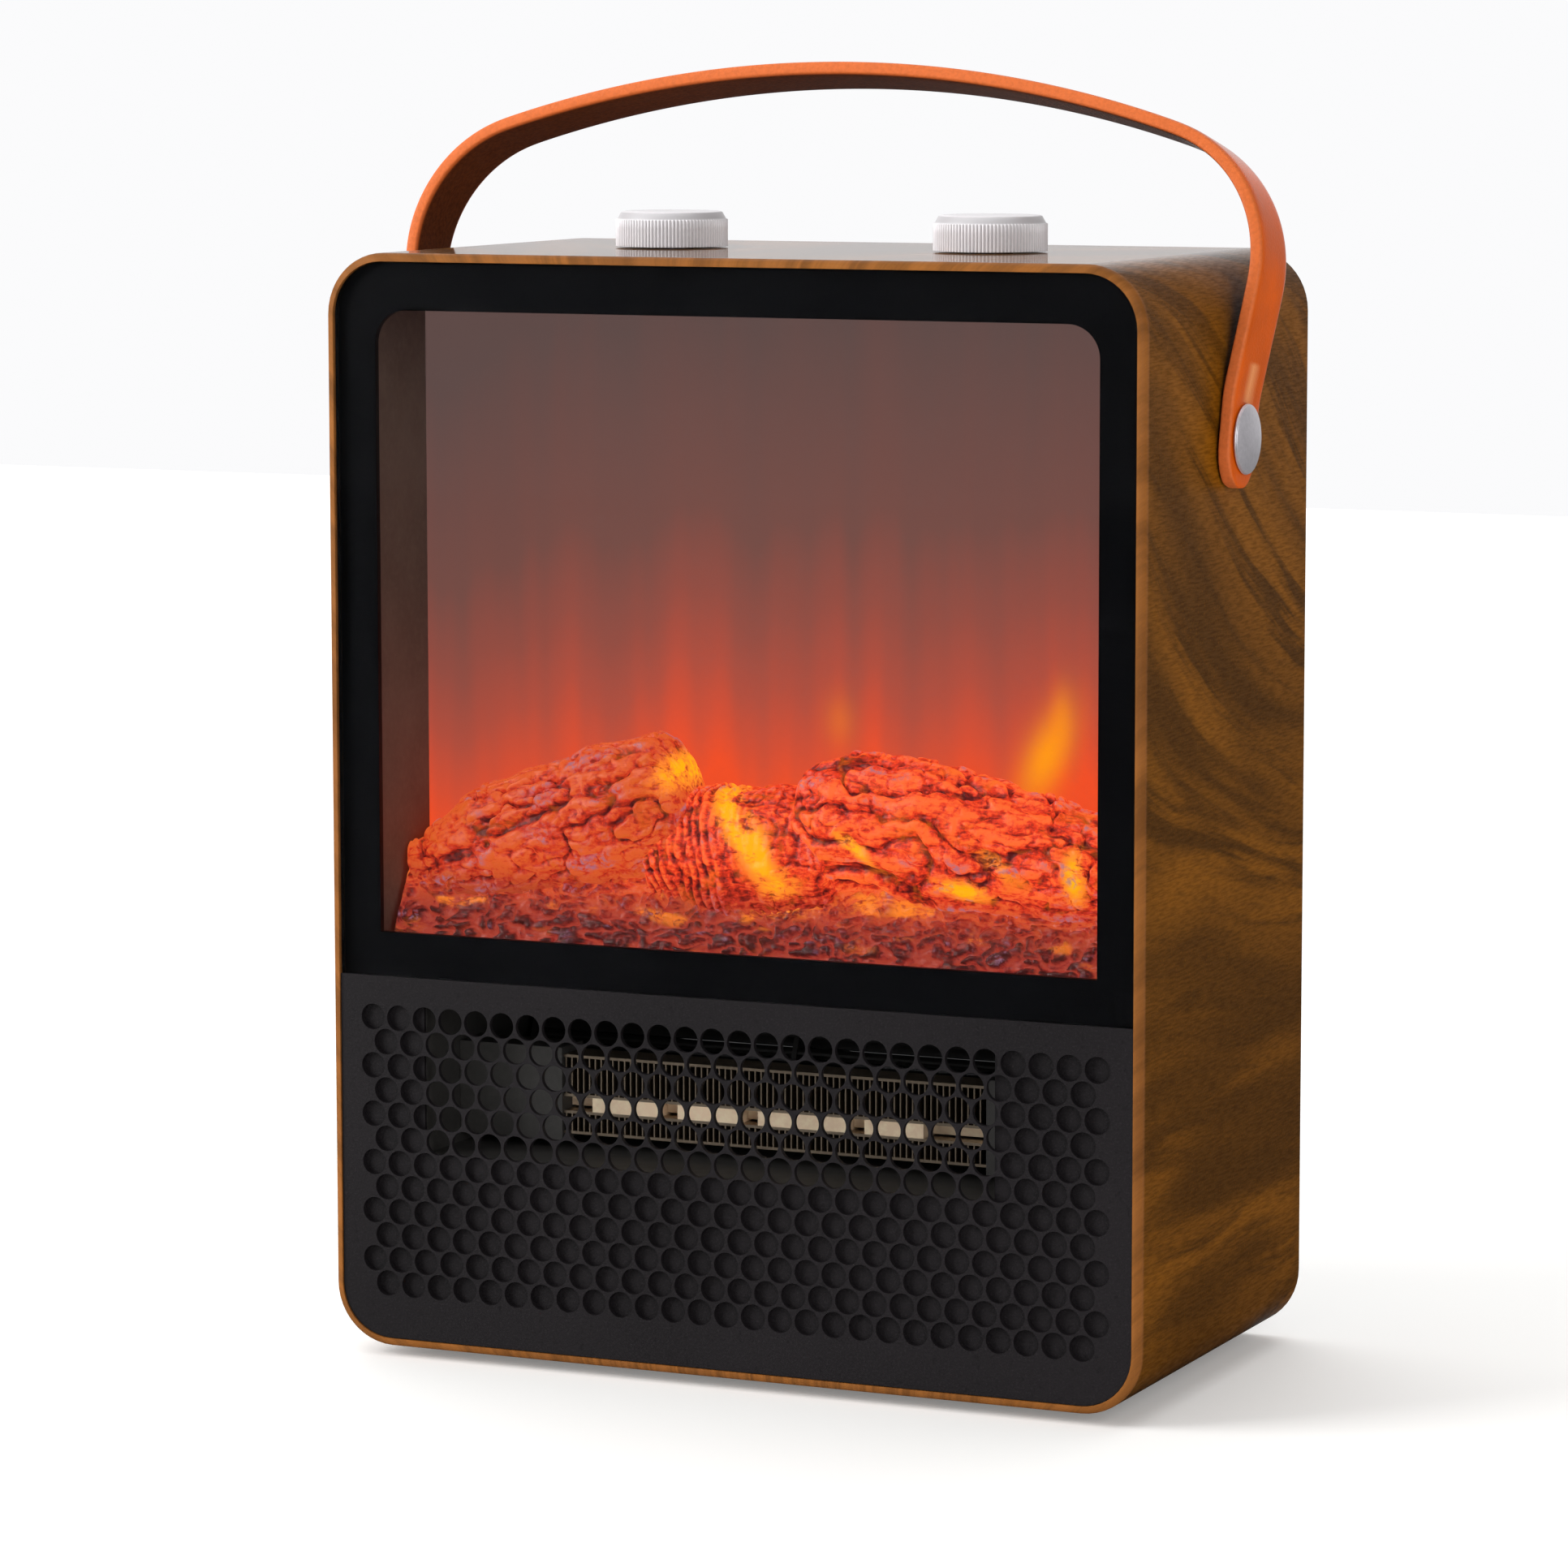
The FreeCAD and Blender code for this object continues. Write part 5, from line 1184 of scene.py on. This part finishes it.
class HEATER_OT_strap(bpy.types.Operator):
    """Leather strap handle."""

    bl_idname = "heater.strap"
    bl_label = "Strap"
    bl_options = {"REGISTER", "UNDO"}

    def execute(self, context):
        """Rounded section carried along the strap's line, with round tails and a slit over one rivet."""
        strap = context.scene.heater_strap
        x, z, turns, pace = strap_line(strap)
        angle = np.linspace(0, 2 * math.pi, STRAP_COLUMNS, endpoint=False)
        across = np.sign(np.cos(angle)) * np.abs(np.cos(angle)) ** STRAP_SQUARE
        through = np.sign(np.sin(angle)) * np.abs(np.sin(angle)) ** STRAP_SQUARE
        index = np.arange(len(x))
        half_width = strap.width / 2
        short = np.clip(1 - np.minimum(index, index[::-1]) * pace / half_width, 0, 0.9995)
        wide = half_width * np.sqrt(1 - short**2)
        thin = strap.thick / 2 * (1 - 0.25 * step(short, 0.93, 1.0))
        grid_y = -wide[:, None] * across
        over = (z - strap.rivet_radius)[:, None]
        slit = np.exp(-((grid_y / (SLIT_HALF * MM)) ** 2)) * (through > 0) * (x[:, None] > 0)
        slit_end = step(-over, -(SLIT_LONG + SLIT_SOFT) * MM, -SLIT_LONG * MM)
        slit = slit * step(over, 0, 0.5 * MM) * slit_end
        out = thin[:, None] * through - slit * SLIT_DEEP * MM
        grid_x = x[:, None] + np.sin(turns)[:, None] * out
        grid_z = z[:, None] + np.cos(turns)[:, None] * out
        low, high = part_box("rivet_right")
        pivot = (low.z + high.z) / 2
        cosine, sine = math.cos(strap.lean), math.sin(strap.lean)
        lean_y = grid_y * cosine + grid_z * sine
        lean_z = pivot + grid_z * cosine - grid_y * sine
        attributes = {
            "edge": np.broadcast_to(step(np.abs(across), 0.86, 0.985), out.shape),
            "back": np.broadcast_to(step(-np.sin(angle), 0.3, 0.8), out.shape),
            "slit_edge_and_highlight": slit,
        }
        grid = np.stack([grid_x, lean_y, lean_z], axis=-1)
        made = skin("strap", grid, leather(strap), "handle", attributes=attributes)
        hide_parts("strap_handle")
        return {"FINISHED"}


def rivet_profile(radius, dome, end, face):
    """Rows of place along the axis and radius: shank, rolled rim and domed cap."""
    rim = 0.8 * MM
    shank = 3.0 * MM
    share = np.linspace(0, 1, DOME_ROWS)[::-1] * math.pi / 2
    rim_turn = np.linspace(0.4, math.pi - 0.2, RIM_ROWS)[::-1]
    rim_x = face + rim / 2 + rim / 2 * np.cos(rim_turn)
    rim_radius = radius - rim / 2 + rim / 2 * np.sin(rim_turn)
    dome_x = face + rim + (dome - rim) * np.cos(share) ** 1.1
    dome_radius = radius * np.sin(share) * 0.985
    along = np.concatenate([[end, end + 0.3 * MM, face], rim_x, dome_x[:-1]])
    radii = np.concatenate([[shank - 0.4 * MM, shank, shank], rim_radius, dome_radius[:-1]])
    return along[:, None], radii[:, None]


class HEATER_OT_rivets(bpy.types.Operator):
    """Domed rivets."""

    bl_idname = "heater.rivets"
    bl_label = "Rivets"
    bl_options = {"REGISTER", "UNDO"}

    def execute(self, context):
        """Domed cap with a rolled rim on a plain shank, turned about the rivet's axis."""
        strap = context.scene.heater_strap
        nickel = context.scene.heater_metal.nickel
        material = metal("rivet_nickel", nickel, 0.34, (900, 900, 900), 0.006, 0.05, 0.6)
        turn = np.linspace(0, 2 * math.pi, RIVET_COLUMNS, endpoint=False)
        for label, side in (("rivet_left", -1), ("rivet_right", 1)):
            low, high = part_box(label)
            middle = (low + high) / 2
            tip = high.x if side > 0 else -low.x
            end = low.x if side > 0 else -high.x
            along, radii = rivet_profile(strap.rivet_radius, strap.rivet_dome, end, tip - strap.rivet_dome)
            y = middle.y + radii * np.cos(turn)
            z = middle.z + radii * np.sin(turn)
            grid = np.stack([side * along + 0 * turn, y, z], axis=-1)
            made = skin(label + "_turned", grid, material, "case")
            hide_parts(label)
        return {"FINISHED"}


# ---------------------------------------------------------------- hidden parts


class HEATER_OT_hidden(bpy.types.Operator):
    """Heating element, blower, controls and small hardware."""

    bl_idname = "heater.hidden"
    bl_label = "Heater and blower"
    bl_options = {"REGISTER", "UNDO"}

    def execute(self, context):
        """Each inner part gets the finish of its own metal or plastic."""
        metals = context.scene.heater_metal
        plastic = context.scene.heater_plastic
        duct = moulded("duct_plastic", plastic.duct, 0.55, 0.03, 600.0)
        paint("heater_duct core_ends blower_scroll vortex_tongue blower_end_left blower_end_right", duct)
        dark = moulded("fan_plastic", scaled(plastic.duct, 0.5), 0.5)
        paint("fan_wheel thermostat mode_selector tip_switch thermal_cutout board_parts", dark)
        paint("tip_plunger", moulded("switch_plastic", plastic.plunger, 0.4))
        paint("ptc_core", moulded("ceramic_bar", metals.ceramic, 0.6, 0.05, 400.0))
        paint("heat_fins", metal("fin_aluminium", metals.fin, 0.32, (900, 900, 40), 0.01))
        ground = metal("ground_steel", metals.steel, 0.25)
        paint("fan_shaft motor_rotor thermostat_stem selector_stem", ground)
        plated = metal("plated_steel", metals.steel, 0.32, (400, 400, 400))
        paint("back_screws rivet_washers rivet_nuts control_nuts tip_spring", plated)
        paint("motor_stator", metal("stator_steel", scaled(metals.steel, 0.5), 0.45, (1400, 60, 60)))
        paint("motor_coil", metal("copper_winding", metals.copper, 0.35, (60, 2600, 2600), 0.04))
        paint("fan_bush", metal("sintered_bronze", metals.bronze, 0.5, (700, 700, 700)))
        return {"FINISHED"}


# ---------------------------------------------------------------- add-on


class HEATER_PT_panel(bpy.types.Panel):
    """Lists the heater's operators."""

    bl_idname = "HEATER_PT_panel"
    bl_label = "Heater"
    bl_space_type = "VIEW_3D"
    bl_region_type = "UI"
    bl_category = "Heater"

    def draw(self, context):
        """One button for each operator."""
        for operator in OPERATORS:
            self.layout.operator(operator.bl_idname)


OPERATORS = (
    HEATER_OT_stage,
    HEATER_OT_case,
    HEATER_OT_window,
    HEATER_OT_firebox,
    HEATER_OT_logs,
    HEATER_OT_grille,
    HEATER_OT_knobs,
    HEATER_OT_strap,
    HEATER_OT_rivets,
    HEATER_OT_hidden,
)


def register():
    """Adds the settings, operators and panel."""
    for label, group in GROUPS.items():
        bpy.utils.register_class(group)
        setattr(bpy.types.Scene, label, PointerProperty(type=group))
    for kind in (*OPERATORS, HEATER_PT_panel):
        bpy.utils.register_class(kind)


def unregister():
    """Takes them away again."""
    for kind in (HEATER_PT_panel, *reversed(OPERATORS)):
        bpy.utils.unregister_class(kind)
    for label, group in reversed(GROUPS.items()):
        delattr(bpy.types.Scene, label)
        bpy.utils.unregister_class(group)


def main():
    """Runs every operator in order."""
    register()
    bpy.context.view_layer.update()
    for operator in OPERATORS:
        group, action = operator.bl_idname.split(".")
        getattr(getattr(bpy.ops, group), action)()


if __name__ == "__main__":
    main()
